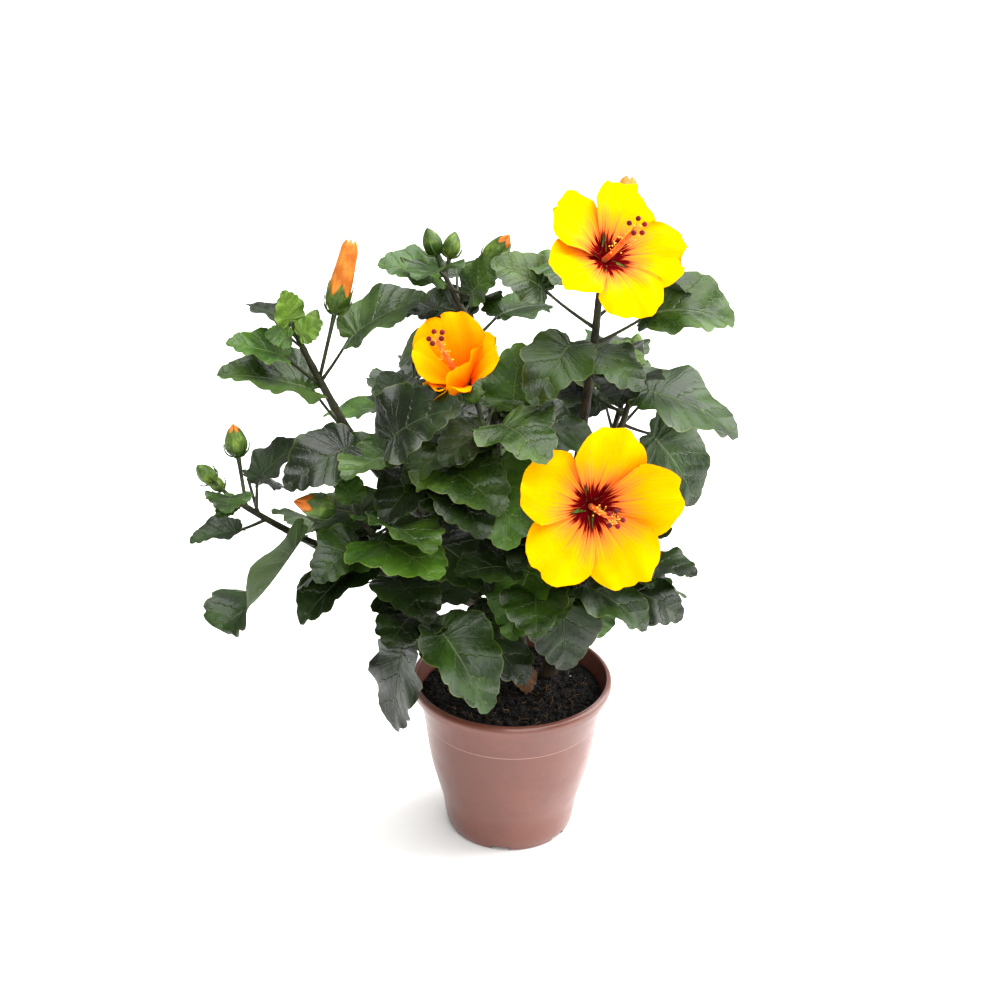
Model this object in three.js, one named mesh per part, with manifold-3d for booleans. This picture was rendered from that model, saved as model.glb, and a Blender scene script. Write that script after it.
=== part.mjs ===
// A hibiscus shrub in bloom, in its nursery pot. Millimetres, +Z up. The origin is the centre of the pot's flat
// underside, and the blooms face -Y. A turn is a compass angle in degrees from +X towards +Y, and a rise is the
// angle above the horizontal. The shrub is worked out as a gardener reads one: stems carry boughs, each bough
// carries one mass of foliage, and each mass is a shoot with leaves, buds and sometimes a bloom on it.
import * as THREE from 'three';
import { mergeVertices } from 'three/addons/utils/BufferGeometryUtils.js';
import Module from 'manifold-3d';

const wasm = await Module();
wasm.setup();

// ---------------------------------------------------------------- driving dimensions

const GAP = 0.3; // clearance between neighbouring solids
const DEG = Math.PI / 180;

const POT = {
  height: 110,
  lipRadius: 65.5,
  lipHeight: 7,
  mouthRadius: 61.3,
  footRadius: 40.4,
  wall: 1.8,
  floor: 4.4,
  creaseHeight: 82, // the fine ring under the collar
  creaseStep: 0.5,
  notches: 6, // drainage notches round the foot
  notchWidth: 12,
  notchHeight: 3.2,
  notchDepth: 6,
  facets: 30,
};
// Radius of the pot's body at heights from its foot to its collar.
const POT_BODY = [[5, 42], [12, 43.2], [22, 44.2], [33, 46], [50, 50.4], [70, 54.4]];

const SOIL = { level: 99, edgeDrop: 1.2, flatRadius: 34 };

// Stems rise from the soil. A limb's bow is how far its middle hangs below the straight line.
const STEMS = {
  stem_main: { foot: [10, 12, SOIL.level], tip: [-3, 14, 178], bow: 0, radii: [5, 4], flare: 2.4 },
  stem_right: { foot: [25, 21, SOIL.level], tip: [32, 16, 172], bow: 0, radii: [4.2, 3.5], flare: 2 },
};

// A bough leaves its stem at a share of the stem's length, and ends where its foliage begins.
const BOUGHS = {
  bough_top_centre: { on: 'stem_main', at: 1, tip: [-19, 31, 326], bow: -6, radii: [3.7, 2.4] },
  bough_upper_left: { on: 'stem_main', at: 0.93, tip: [-98, 12, 266], bow: 18, radii: [3.7, 3.2] },
  bough_mid_left: { on: 'stem_main', at: 0.86, tip: [-55, -16, 250], bow: 14, radii: [3, 2.2] },
  bough_centre: { on: 'stem_main', at: 0.97, tip: [-10, -14, 266], bow: 8, radii: [3, 2.3] },
  bough_back_left: { on: 'stem_main', at: 0.78, tip: [-46, 58, 236], bow: 14, radii: [3, 2.2] },
  bough_lower_left: { on: 'stem_main', at: 0.7, tip: [-116, -18, 210], bow: 12, radii: [3.3, 2.7] },
  bough_front_left: { on: 'stem_main', at: 0.6, tip: [-66, -34, 208], bow: 10, radii: [2.7, 2.1] },
  bough_low_left: { on: 'stem_main', at: 0.42, tip: [-40, -34, 162], bow: 6, radii: [2.4, 1.9] },
  bough_back_low: { on: 'stem_main', at: 0.5, tip: [-12, 60, 178], bow: 8, radii: [2.5, 1.9] },
  bough_top_right: { on: 'stem_right', at: 1, tip: [46, 1, 340], bow: -4, radii: [3.4, 2.8] },
  bough_right: { on: 'stem_right', at: 0.9, tip: [65, 14, 282], bow: 16, radii: [2.9, 2.1] },
  bough_back_right: { on: 'stem_right', at: 0.8, tip: [60, 62, 246], bow: 14, radii: [2.8, 2.1] },
  bough_centre_right: { on: 'stem_right', at: 0.86, tip: [35, -20, 232], bow: 10, radii: [2.7, 2.1] },
  bough_front: { on: 'stem_right', at: 0.6, tip: [14, -30, 184], bow: 6, radii: [2.4, 1.9] },
  bough_lower_right: { on: 'stem_right', at: 0.5, tip: [54, -8, 184], bow: 8, radii: [2.4, 1.9] },
};

// One leaf that shows in the shrub's outline: where it leaves its shoot (a share of the shoot's length), its
// stalk's turn, lift and length, and its blade's rise and length. Twist is how far the blade turns from its
// stalk, roll tips it about its midrib, bend is how far it droops from its foot to its tip, and fold is how far
// each half of it is lifted from flat.
const PLAIN_LEAF = { twist: 0, roll: 0, bend: 30, fold: 12, lobes: 0 };
const leaf = (along, turn, lift, stalk, rise, length, shape = {}) => ({
  along, turn, lift, stalk, rise, length, ...PLAIN_LEAF, ...shape,
});
// One bud: where it leaves its shoot, its stalk's turn, lift and length, and the bud's own length.
const bud = (along, turn, lift, stalk, length) => ({ along, turn, lift, stalk, length });

// The shoot of each mass runs from its bough's tip to its own tip. Its spiral leaves follow the seeded rule.
const MASSES = {
  foliage_upper_left: {
    bough: 'bough_upper_left', tip: [-134, 12, 341], bow: 4, radii: [3.1, 1.7],
    leaves: [
      leaf(0.1, 199, 56, 44, 26, 61, { twist: -7, roll: 16, bend: 24, lobes: 1 }),
      leaf(0.58, 190, 43, 31, 25, 38, { twist: -1, roll: 10, bend: 18 }),
      leaf(0.62, 18, 55, 33, 42, 56, { twist: -11, fold: 20 }),
      leaf(0.96, 215, 66, 17, 80, 23, { twist: 11, bend: 8 }),
      leaf(0.94, 268, 50, 13, 43, 18, { twist: 84, bend: 16 }),
      leaf(0.92, 229, 43, 14, 23, 17, { twist: -27, bend: 16 }),
    ],
    buds: [bud(0.64, 5, 77, 45, 46), bud(1, 150, 72, 9, 14), bud(0.97, 20, 60, 9, 14)],
    spiral: { count: 2, start: 340, size: 46, seed: 13 },
  },
  foliage_lower_left: {
    bough: 'bough_lower_left', tip: [-176, -36, 258], bow: 4, radii: [2.6, 1.6],
    leaves: [
      leaf(0.12, 242, 34, 19, -24, 77, { twist: -35, roll: -44, bend: 26 }),
      leaf(0.12, 25, 35, 8, 40, 38),
      leaf(0.7, 75, 82, 21, 47, 41, { twist: -51, roll: 5 }),
      leaf(0.68, 123, 57, 23, -14, 27, { twist: -99, bend: 24 }),
      leaf(0.6, 221, -3, 20, 2, 32, { twist: -22, bend: 20 }),
      leaf(0.86, 263, 35, 13, -21, 16, { twist: -48, bend: 20 }),
    ],
    buds: [bud(0.8, 150, 82, 34, 20), bud(1, 200, 52, 13, 15), bud(0.97, 175, 45, 6, 12)],
    spiral: { count: 2, start: 110, size: 44, seed: 20 },
  },
  foliage_mid_left: {
    bough: 'bough_mid_left', tip: [-72, -34, 288], bow: 3, radii: [2.2, 1.5],
    leaves: [
      leaf(0.9, 255, 44, 28, 49, 53, { twist: 92, roll: 20, bend: 36, lobes: 1 }),
      leaf(0.4, 207, 36, 51, -11, 48, { twist: -2, roll: 20 }),
      leaf(0.7, 85, 57, 28, 44, 38, { twist: 34, bend: 26 }),
    ],
    buds: [],
    spiral: { count: 6, start: 30, size: 60, seed: 71 },
  },
  foliage_front_left: {
    bough: 'bough_front_left', tip: [-98, -50, 254], bow: 3, radii: [2.1, 1.5],
    leaves: [
      leaf(0.5, 266, 30, 20, 10, 60, { twist: 46, bend: 24, fold: 4, lobes: 1 }),
      leaf(0.12, 205, 22, 20, -23, 62, { lobes: 0.6 }),
      leaf(0.05, 255, 0, 18, 2, 46, { twist: 45, lobes: 1 }),
      leaf(1, 110, 60, 6, 50, 22),
      leaf(0.96, 300, 20, 6, 20, 18),
    ],
    buds: [bud(1, 195, 18, 12, 25)],
    spiral: { count: 6, start: 210, size: 56, seed: 6 },
  },
  foliage_low_left: {
    bough: 'bough_low_left', tip: [-60, -48, 184], bow: 2, radii: [1.9, 1.4],
    leaves: [
      leaf(0.6, 281, 23, 35, -32, 61, { twist: 37, bend: 28, lobes: 0.3 }),
      leaf(0.7, 228, -25, 21, -60, 59, { twist: 17, roll: -22, bend: 34 }),
      leaf(1, 180, 20, 8, 10, 18),
    ],
    buds: [bud(1, 215, 30, 8, 12)],
    spiral: { count: 4, start: 310, size: 54, seed: 31 },
  },
  foliage_centre: {
    bough: 'bough_centre', tip: [-20, -28, 303], bow: 3, radii: [2.3, 1.6],
    leaves: [
      leaf(0.55, 38, 53, 28, 86, 41, { twist: 10, bend: 14 }),
      leaf(0.6, 223, -21, 36, -10, 49, { twist: 77 }),
      leaf(0.3, 207, -1, 47, -9, 44, { twist: 27 }),
    ],
    buds: [],
    spiral: { count: 7, start: 290, size: 60, seed: 16 },
  },
  foliage_top_centre: {
    bough: 'bough_top_centre', tip: [-46, 31, 378], bow: 3, radii: [2.4, 1.5],
    leaves: [
      leaf(0.8, 203, 45, 11, 27, 40, { twist: -14, bend: 24 }),
      leaf(0.15, 119, 50, 16, 18, 39, { twist: 61, roll: 30, bend: 28 }),
      leaf(0.8, 316, 0, 16, 62, 33, { twist: 27, roll: -20, bend: 24 }),
      leaf(0.2, 40, 30, 18, 10, 44),
    ],
    buds: [bud(1, 150, 66, 12, 17), bud(0.95, 60, 66, 12, 16), bud(0.6, 350, 58, 32, 24)],
    spiral: { count: 4, start: 180, size: 50, seed: 50 },
  },
  foliage_top_right: {
    bough: 'bough_top_right', tip: [49, 0, 384], bow: 0, radii: [2.7, 2.1],
    leaves: [
      leaf(0.35, 181, 38, 39, 39, 38, { twist: -5, roll: -20, bend: 24 }),
      leaf(0.12, 10, 27, 33, 25, 59, { twist: -8, roll: -14, bend: 60, fold: 26 }),
      leaf(0.14, 264, 8, 17, -3, 43, { twist: 52, bend: 34, fold: 4, lobes: 0.6 }),
      leaf(0.1, 13, -8, 13, -13, 23, { twist: -19 }),
    ],
    buds: [bud(0.65, 70, 50, 60, 24)],
    spiral: { count: 3, start: 220, size: 52, seed: 53 },
  },
  foliage_right: {
    bough: 'bough_right', tip: [74, 15, 316], bow: 2, radii: [2.1, 1.5],
    leaves: [
      leaf(0.9, 281, 10, 15, -3, 68, { twist: 68, roll: 4, bend: 40, lobes: 0.6 }),
      leaf(0.1, 360, -20, 19, -42, 59, { roll: -20, bend: 34, fold: 4 }),
      leaf(0.6, 150, 20, 16, 14, 46),
    ],
    buds: [],
    spiral: { count: 5, start: 40, size: 56, seed: 59 },
  },
  foliage_centre_right: {
    bough: 'bough_centre_right', tip: [38, -40, 258], bow: 2, radii: [2.1, 1.9],
    leaves: [leaf(0.3, 330, 0, 18, -18, 46), leaf(0.5, 200, 10, 18, -8, 48)],
    buds: [],
    spiral: { count: 6, start: 110, size: 56, seed: 8 },
  },
  foliage_front: {
    bough: 'bough_front', tip: [12, -44, 206], bow: 2, radii: [1.9, 1.4],
    leaves: [
      leaf(0.9, 260, 65, 17, -50, 49, { twist: -28 }),
      leaf(0.4, 322, 24, 21, -58, 52, { twist: -33 }),
    ],
    buds: [],
    spiral: { count: 5, start: 0, size: 54, seed: 1 },
  },
  foliage_lower_right: {
    bough: 'bough_lower_right', tip: [70, -12, 204], bow: 2, radii: [1.9, 1.4],
    leaves: [
      leaf(0.4, 276, -11, 11, -5, 50, { twist: 72, roll: -10, bend: 34, fold: 4 }),
      leaf(1, 6, -9, 19, -3, 26, { twist: -11, bend: 40 }),
      leaf(0.1, 261, -4, 22, -67, 26, { twist: 42, bend: 24 }),
    ],
    buds: [],
    spiral: { count: 4, start: 30, size: 52, seed: 63 },
  },
  foliage_back_left: {
    bough: 'bough_back_left', tip: [-66, 78, 286], bow: 4, radii: [2.2, 1.4],
    leaves: [],
    buds: [bud(1, 100, 70, 10, 15)],
    spiral: { count: 8, start: 100, size: 60, seed: 69 },
  },
  foliage_back_right: {
    bough: 'bough_back_right', tip: [74, 80, 292], bow: 4, radii: [2.1, 1.4],
    leaves: [],
    buds: [bud(1, 60, 70, 10, 15)],
    spiral: { count: 8, start: 310, size: 60, seed: 7 },
  },
  foliage_back_low: {
    bough: 'bough_back_low', tip: [-16, 86, 214], bow: 3, radii: [1.9, 1.3],
    leaves: [],
    buds: [],
    spiral: { count: 7, start: 60, size: 56, seed: 42 },
  },
};

// The rule for a shoot's spiral leaves: each stands 2/5 of a turn round from the last.
const SPIRAL = {
  step: 144, turnSpread: 20, low: 0.08, high: 0.95, lift: 34, liftSpread: 12, stalk: 0.45, stalkSpread: 0.1,
  lowRise: -18, highRise: 26, riseSpread: 9, shrink: 0.28, sizeSpread: 0.1, bend: 34, bendSpread: 12,
  roll: 14,
};

const LEAF = { width: 0.43, thickness: 0.02, steps: 5, stalkRadii: [1.2, 0.9] };

// Each bloom grows on from the tip of its mass's shoot. Centre is the middle of its mouth, and its petals open
// from the first angle off its axis to the second.
const BLOOMS = {
  bloom_top: {
    mass: 'foliage_top_right', centre: [56, -22, 416], turn: 300, rise: 44, radius: 45, open: [36, 100],
    width: 0.44, spin: 0, column: 46, finish: 'yellow',
  },
  bloom_front: {
    mass: 'foliage_centre_right', centre: [50, -72, 269], turn: 285, rise: 18, radius: 52, open: [36, 100],
    width: 0.44, spin: 3, column: 50, finish: 'yellow',
  },
  bloom_middle: {
    mass: 'foliage_centre', centre: [-40, -46, 361], turn: 210, rise: 48, radius: 31, open: [6, 62],
    width: 0.32, spin: 0, column: 30, finish: 'orange',
  },
};
const PETAL = { count: 5, broadest: 0.62, thickness: 1.1, steps: 5, tilt: 9 };
const BUD = { girth: 0.36, mostRadius: 8, steps: 4, stalkRadius: 1.2 };
const CALYX = { radius: 6.5, length: 14 };
const PEDICEL = [1.7, 1.5];
const PAD = { count: 5, radius: 1.7, spread: 2.6 };

const FINISH = {
  pot: { color: 0xa5736a, roughness: 0.45 },
  soil: { color: 0x1d1713, roughness: 1 },
  bark: { color: 0x4a3a2c, roughness: 0.8 },
  foliage: { color: 0x3c5a2e, roughness: 0.45 },
  yellow: { color: 0xfdd90a, roughness: 0.55 },
  orange: { color: 0xf79a12, roughness: 0.55 },
};

// ---------------------------------------------------------------- small tools

const vec = (x, y, z) => new THREE.Vector3(x, y, z);
const mix = THREE.MathUtils.lerp;

// A repeatable run of numbers from 0 to 1.
function seeded(seed) {
  let state = seed >>> 0;
  return () => {
    state = (state + 0x6d2b79f5) >>> 0;
    let word = Math.imul(state ^ (state >>> 15), state | 1);
    word = (word + Math.imul(word ^ (word >>> 7), word | 61)) ^ word;
    return ((word ^ (word >>> 14)) >>> 0) / 4294967296;
  };
}

// The unit vector with a turn and a rise.
function bearing(turn, rise) {
  const level = Math.cos(rise * DEG);
  return vec(level * Math.cos(turn * DEG), level * Math.sin(turn * DEG), Math.sin(rise * DEG));
}

// A closed geometry as a solid: shared corners are merged and collapsed faces left out.
function solid(geometry) {
  const bare = geometry.clone();
  bare.deleteAttribute('normal');
  bare.deleteAttribute('uv');
  const merged = mergeVertices(bare, 1e-4);
  const corners = merged.index.array;
  const kept = [];
  for (let i = 0; i < corners.length; i += 3) {
    const [a, b, c] = corners.slice(i, i + 3);
    if (a !== b && b !== c && c !== a) kept.push(a, b, c);
  }
  const vertProperties = merged.getAttribute('position').array;
  return new wasm.Manifold(new wasm.Mesh({ numProp: 3, vertProperties, triVerts: new Uint32Array(kept) }));
}

// A drum whose every point is moved by place(share of the length, side, height): one mould for all limbs,
// leaves, petals and buds.
function moulded(sides, steps, place) {
  const drum = new THREE.CylinderGeometry(1, 1, 1, sides, steps);
  const points = drum.getAttribute('position');
  for (let i = 0; i < points.count; i += 1) {
    const side = Math.abs(points.getX(i)) < 1e-9 ? 0 : points.getX(i);
    const height = Math.abs(points.getZ(i)) < 1e-9 ? 0 : points.getZ(i);
    const moved = place(points.getY(i) + 0.5, side, height);
    points.setXYZ(i, moved.x, moved.y, moved.z);
  }
  return solid(drum);
}

// The whole outer body of what fusing gave: sealed hollows are filled and loose scraps dropped.
function wholeBody(joined) {
  const bodies = joined.simplify(0.05).decompose();
  return bodies.sort((a, b) => b.volume() - a.volume())[0];
}

const fused = (parts) => wholeBody(wasm.Manifold.union(parts));

// ---------------------------------------------------------------- pot and soil

// The radius at a height of a wall given by its stations, each a height and a radius.
function radiusAt(stations, height) {
  const next = Math.max(1, stations.findIndex(([at]) => at >= height));
  const [[lowAt, lowR], [highAt, highR]] = [stations[next - 1], stations[next]];
  return mix(lowR, highR, (height - lowAt) / (highAt - lowAt));
}

const POT_OUTSIDE = [
  [0, POT.footRadius], ...POT_BODY, [POT.creaseHeight, POT_BODY.at(-1)[1] + 2],
  [POT.height, POT.mouthRadius + POT.wall],
];
const POT_INSIDE = [
  [POT.floor, radiusAt(POT_OUTSIDE, POT.floor) - POT.wall],
  ...POT_BODY.slice(2).map(([height, radius]) => [height, radius - POT.wall]),
  [POT.height - 1.2, POT.mouthRadius],
];

function potSolid() {
  const lipFoot = POT.height - POT.lipHeight;
  const lipRound = POT.lipHeight / 2;
  const crease = radiusAt(POT_OUTSIDE, POT.creaseHeight);
  const profile = new THREE.Path();
  profile.moveTo(0, 0);
  profile.lineTo(POT.footRadius - 1, 0);
  profile.lineTo(POT.footRadius + 0.2, 1);
  for (const [height, radius] of POT_BODY) profile.lineTo(radius, height);
  profile.lineTo(crease, POT.creaseHeight);
  profile.lineTo(crease + POT.creaseStep, POT.creaseHeight + POT.creaseStep);
  profile.lineTo(radiusAt(POT_OUTSIDE, lipFoot), lipFoot);
  profile.lineTo(POT.lipRadius - 0.6, lipFoot);
  profile.absarc(POT.lipRadius - lipRound, POT.height - lipRound, lipRound, -0.2, Math.PI / 2, false);
  profile.lineTo(POT.mouthRadius + 0.6, POT.height - 0.3);
  for (const [height, radius] of POT_INSIDE.toReversed()) profile.lineTo(radius, height);
  profile.lineTo(0, POT.floor);
  const body = solid(new THREE.LatheGeometry(profile.getPoints(3), POT.facets).rotateX(Math.PI / 2));
  const cutters = Array.from({ length: POT.notches }, (_, i) => {
    const box = new THREE.BoxGeometry(POT.notchDepth * 2, POT.notchWidth, POT.notchHeight * 2);
    box.translate(POT.footRadius, 0, 0).rotateZ((-98 + (i * 360) / POT.notches) * DEG);
    return solid(box);
  });
  return wholeBody(body.subtract(wasm.Manifold.union(cutters)));
}

// The soil fills the pot to its level, clear of the pot's floor and wall.
function soilSolid() {
  const shoulder = SOIL.level - SOIL.edgeDrop;
  const low = POT.floor + GAP;
  const heights = [low, ...POT_INSIDE.slice(1, -1).map(([height]) => height), shoulder];
  const profile = new THREE.Path();
  profile.moveTo(0, low);
  for (const height of heights) profile.lineTo(radiusAt(POT_INSIDE, height) - GAP * 1.2, height);
  profile.lineTo(SOIL.flatRadius, SOIL.level);
  profile.lineTo(0, SOIL.level);
  return solid(new THREE.LatheGeometry(profile.getPoints(1), POT.facets).rotateX(Math.PI / 2));
}

// ---------------------------------------------------------------- limbs

// The curve of a limb, whose middle is drawn down by its bow.
function limbPath(foot, tip, bow) {
  const middle = foot.clone().lerp(tip, 0.5).add(vec(0, 0, -bow));
  return new THREE.QuadraticBezierCurve3(foot, middle, tip);
}

// A tapering round limb along a path. Swell makes it thicker all over, and flare widens its foot.
function limb(path, [footRadius, tipRadius], { sides = 6, steps = 4, flare = 0, swell = 0 } = {}) {
  const frames = path.computeFrenetFrames(steps);
  return moulded(sides, steps, (along, side, height) => {
    const at = Math.round(along * steps);
    const radius = mix(footRadius, tipRadius, along) + flare * Math.exp(-along * 9) + swell;
    return path.getPointAt(along)
      .addScaledVector(frames.binormals[at], side * radius)
      .addScaledVector(frames.normals[at], height * radius);
  });
}

// ---------------------------------------------------------------- leaves

// The half width of a leaf's outline, as a share of its length.
function leafWidth(along, lobes) {
  const ovate = Math.sin(Math.PI * along ** 0.7) ** 0.72;
  const bump = 0.28 * Math.exp(-(((along - 0.28) / 0.12) ** 2));
  const notch = 0.3 * Math.exp(-(((along - 0.58) / 0.12) ** 2));
  return LEAF.width * Math.max(ovate + lobes * (bump - notch) * Math.min(1, ovate * 3), 0);
}

// The midrib of a leaf that droops evenly, and the frame that its blade lies in.
function midrib(foot, spec) {
  const turn = spec.turn + spec.twist;
  const bend = Math.max(spec.bend, 1) * DEG;
  const rise = spec.rise * DEG;
  const ahead = bearing(turn, 0);
  return (along) => {
    const pitch = rise - bend * along;
    const out = (spec.length / bend) * (Math.sin(rise) - Math.sin(pitch));
    const up = (spec.length / bend) * (Math.cos(pitch) - Math.cos(rise));
    const tangent = ahead.clone().multiplyScalar(Math.cos(pitch)).add(vec(0, 0, Math.sin(pitch)));
    const level = ahead.clone().multiplyScalar(-Math.sin(pitch)).add(vec(0, 0, Math.cos(pitch)));
    const face = level.applyAxisAngle(tangent, -spec.roll * DEG);
    const side = tangent.clone().cross(face);
    const point = foot.clone().addScaledVector(ahead, out).add(vec(0, 0, up));
    return { point, side, face };
  };
}

// A leaf in one piece: its stalk starts in the shoot's middle and runs on as the rib of a blade that is folded
// along that rib, thickest there and thin at its toothed edge.
function leafSolid(start, spec) {
  const { steps, thickness, stalkRadii } = LEAF;
  const fold = spec.fold * DEG;
  const ahead = bearing(spec.turn, spec.lift);
  const foot = start.clone().addScaledVector(ahead, spec.stalk);
  const rib = midrib(foot, spec);
  const stalkFace = rib(0).face.projectOnPlane(ahead).normalize();
  const stalkSide = ahead.clone().cross(stalkFace);
  return moulded(4, steps + 1, (share, side, height) => {
    const station = Math.round(share * (steps + 1));
    if (station < 2) {
      const radius = stalkRadii[station];
      return (station ? foot : start).clone()
        .addScaledVector(stalkSide, side * radius)
        .addScaledVector(stalkFace, height * radius);
    }
    const along = (station - 1) / steps;
    const { point, side: across, face } = rib(along);
    const width = leafWidth(along, spec.lobes) * spec.length * side;
    const thick = along === 1 ? 0 : (thickness / 2) * spec.length * Math.min(1, 6 * along * (1 - along)) * height;
    return point
      .addScaledVector(across, width * Math.cos(fold))
      .addScaledVector(face, Math.abs(width) * Math.sin(fold) + thick);
  });
}

// The spiral leaves of a shoot, from its foot to its tip.
function spiralLeaves({ count, start, size, seed }) {
  const next = seeded(seed);
  const spread = (amount) => (next() * 2 - 1) * amount;
  return Array.from({ length: count }, (_, i) => {
    const up = count > 1 ? i / (count - 1) : 0.5;
    const length = size * (1 - SPIRAL.shrink * up) * (1 + spread(SPIRAL.sizeSpread));
    return leaf(
      mix(SPIRAL.low, SPIRAL.high, up),
      start + SPIRAL.step * i + spread(SPIRAL.turnSpread),
      SPIRAL.lift + spread(SPIRAL.liftSpread),
      length * (SPIRAL.stalk + spread(SPIRAL.stalkSpread)),
      mix(SPIRAL.lowRise, SPIRAL.highRise, up) + spread(SPIRAL.riseSpread),
      length,
      { roll: spread(SPIRAL.roll), bend: SPIRAL.bend + spread(SPIRAL.bendSpread), lobes: next() > 0.6 ? 1 : 0 },
    );
  });
}

// ---------------------------------------------------------------- buds and blooms

// A pointed bud in one piece with its stalk: widest below its middle.
function budSolid(start, { turn, lift, stalk, length }) {
  const ahead = bearing(turn, lift);
  const side = bearing(turn - 90, 0);
  const face = side.clone().cross(ahead);
  const mostRadius = Math.min(BUD.girth * length, BUD.mostRadius);
  return moulded(5, BUD.steps + 1, (share, across, height) => {
    const station = Math.round(share * (BUD.steps + 1));
    const along = Math.max(0, station - 1) / BUD.steps;
    const round = along === 1 ? 0 : mostRadius * Math.sin(Math.PI * along ** 0.75) ** 0.7;
    const radius = station < 2 ? BUD.stalkRadius : round;
    return start.clone()
      .addScaledVector(ahead, station ? stalk + along * length : 0)
      .addScaledVector(side, across * radius)
      .addScaledVector(face, height * radius);
  });
}

// A petal's half width along its length, as a share of its broadest: a wedge with a round end.
function petalWidth(along) {
  const past = Math.max(0, along - PETAL.broadest) / (1 - PETAL.broadest);
  return Math.min(1, along / PETAL.broadest) ** 1.3 * Math.sqrt(1 - past * past);
}

// One petal: it leaves the throat along the axis, spreads, and its broad end turns back.
function petalSolid(throat, axis, outward, spec, length) {
  const [from, to] = spec.open.map((angle) => angle * DEG);
  const sweep = to - from;
  const around = axis.clone().cross(outward);
  return moulded(4, PETAL.steps, (along, side, height) => {
    const lean = from + sweep * along;
    const out = (length / sweep) * (Math.cos(from) - Math.cos(lean));
    const up = (length / sweep) * (Math.sin(lean) - Math.sin(from));
    const tangent = outward.clone().multiplyScalar(Math.sin(lean)).addScaledVector(axis, Math.cos(lean));
    const face = axis.clone().multiplyScalar(Math.sin(lean)).addScaledVector(outward, -Math.cos(lean));
    face.applyAxisAngle(tangent, PETAL.tilt * DEG);
    const across = around.clone().applyAxisAngle(tangent, PETAL.tilt * DEG);
    const closed = along === 0 || along === 1;
    const wide = closed ? 0 : petalWidth(along) * spec.width * length;
    return throat.clone()
      .addScaledVector(outward, out)
      .addScaledVector(axis, up)
      .addScaledVector(across, -side * wide)
      .addScaledVector(face, closed ? 0 : (height * PETAL.thickness) / 2);
  });
}

// A bloom with its stalk, calyx, petals, and the column that carries the five pads.
function bloomSolid(foot, onward, spec) {
  const axis = bearing(spec.turn, spec.rise);
  const [from, to] = spec.open.map((angle) => angle * DEG);
  const sweep = to - from;
  const length = (spec.radius * sweep) / (Math.cos(from) - Math.cos(to));
  const depth = (length / sweep) * (Math.sin(Math.min(to, 80 * DEG)) - Math.sin(from));
  const throat = vec(...spec.centre).addScaledVector(axis, -depth);
  const right = vec(-Math.sin(spec.turn * DEG), Math.cos(spec.turn * DEG), 0);
  const petals = Array.from({ length: PETAL.count }, (_, i) => {
    const outward = right.clone().applyAxisAngle(axis, (spec.spin + (i * 360) / PETAL.count) * DEG);
    return petalSolid(throat, axis, outward, spec, length);
  });
  const calyxFoot = throat.clone().addScaledVector(axis, -CALYX.length * 0.6);
  const calyx = limb(
    new THREE.LineCurve3(calyxFoot, throat.clone().addScaledVector(axis, CALYX.length * 0.4)),
    [CALYX.radius * 0.45, CALYX.radius], { sides: 8, steps: 1 },
  );
  const columnTip = throat.clone().addScaledVector(axis, spec.column);
  const column = limb(new THREE.LineCurve3(throat, columnTip), [2, 1.3], { sides: 5, steps: 1 });
  const pads = Array.from({ length: PAD.count }, (_, i) => {
    const out = right.clone().applyAxisAngle(axis, (i * 360 * DEG) / PAD.count);
    const middle = columnTip.clone().addScaledVector(out, PAD.spread - 1);
    return solid(new THREE.OctahedronGeometry(PAD.radius).translate(middle.x, middle.y, middle.z));
  });
  const reach = foot.distanceTo(calyxFoot) / 3;
  const path = new THREE.CubicBezierCurve3(
    foot, foot.clone().addScaledVector(onward, reach),
    calyxFoot.clone().addScaledVector(axis, -reach), throat.clone().addScaledVector(axis, -2),
  );
  const stalk = limb(path, PEDICEL, { sides: 5, steps: 4 });
  return fused([...petals, calyx, column, ...pads, stalk]);
}

// ---------------------------------------------------------------- the shrub

const shrub = new THREE.Group();
shrub.name = 'hibiscus_shrub';
const standing = new Map(); // every finished solid, by its node's name

// Adds a node whose geometry is the given solid.
function stand(name, body, finish) {
  const { vertProperties, triVerts } = body.getMesh();
  const geometry = new THREE.BufferGeometry();
  geometry.setAttribute('position', new THREE.BufferAttribute(vertProperties, 3));
  geometry.setIndex(new THREE.BufferAttribute(triVerts, 1));
  geometry.computeVertexNormals();
  const mesh = new THREE.Mesh(geometry, new THREE.MeshStandardMaterial({ ...finish, metalness: 0 }));
  mesh.name = name;
  shrub.add(mesh);
  standing.set(name, body);
}

// Whether a solid keeps clear of every one of the others.
function clearOf(body, others) {
  const box = body.boundingBox();
  return others.every((other) => {
    const its = other.boundingBox();
    const apart = [0, 1, 2].some((i) => box.min[i] > its.max[i] + GAP || its.min[i] > box.max[i] + GAP);
    return apart || body.minGap(other, GAP * 2) > GAP;
  });
}

stand('pot', potSolid(), FINISH.pot);
stand('soil', soilSolid(), FINISH.soil);

const paths = new Map();
const swollen = []; // every limb, thickened by the clearance, to trim the next ones by

// A limb is cut clear of the limbs before it, so it starts at the skin of the one that carries it.
function standLimb(name, path, radii, options = {}) {
  const body = swollen.reduce((left, other) => left.subtract(other), limb(path, radii, options));
  swollen.push(limb(path, radii, { ...options, swell: GAP }));
  paths.set(name, path);
  return wholeBody(body);
}

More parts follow.
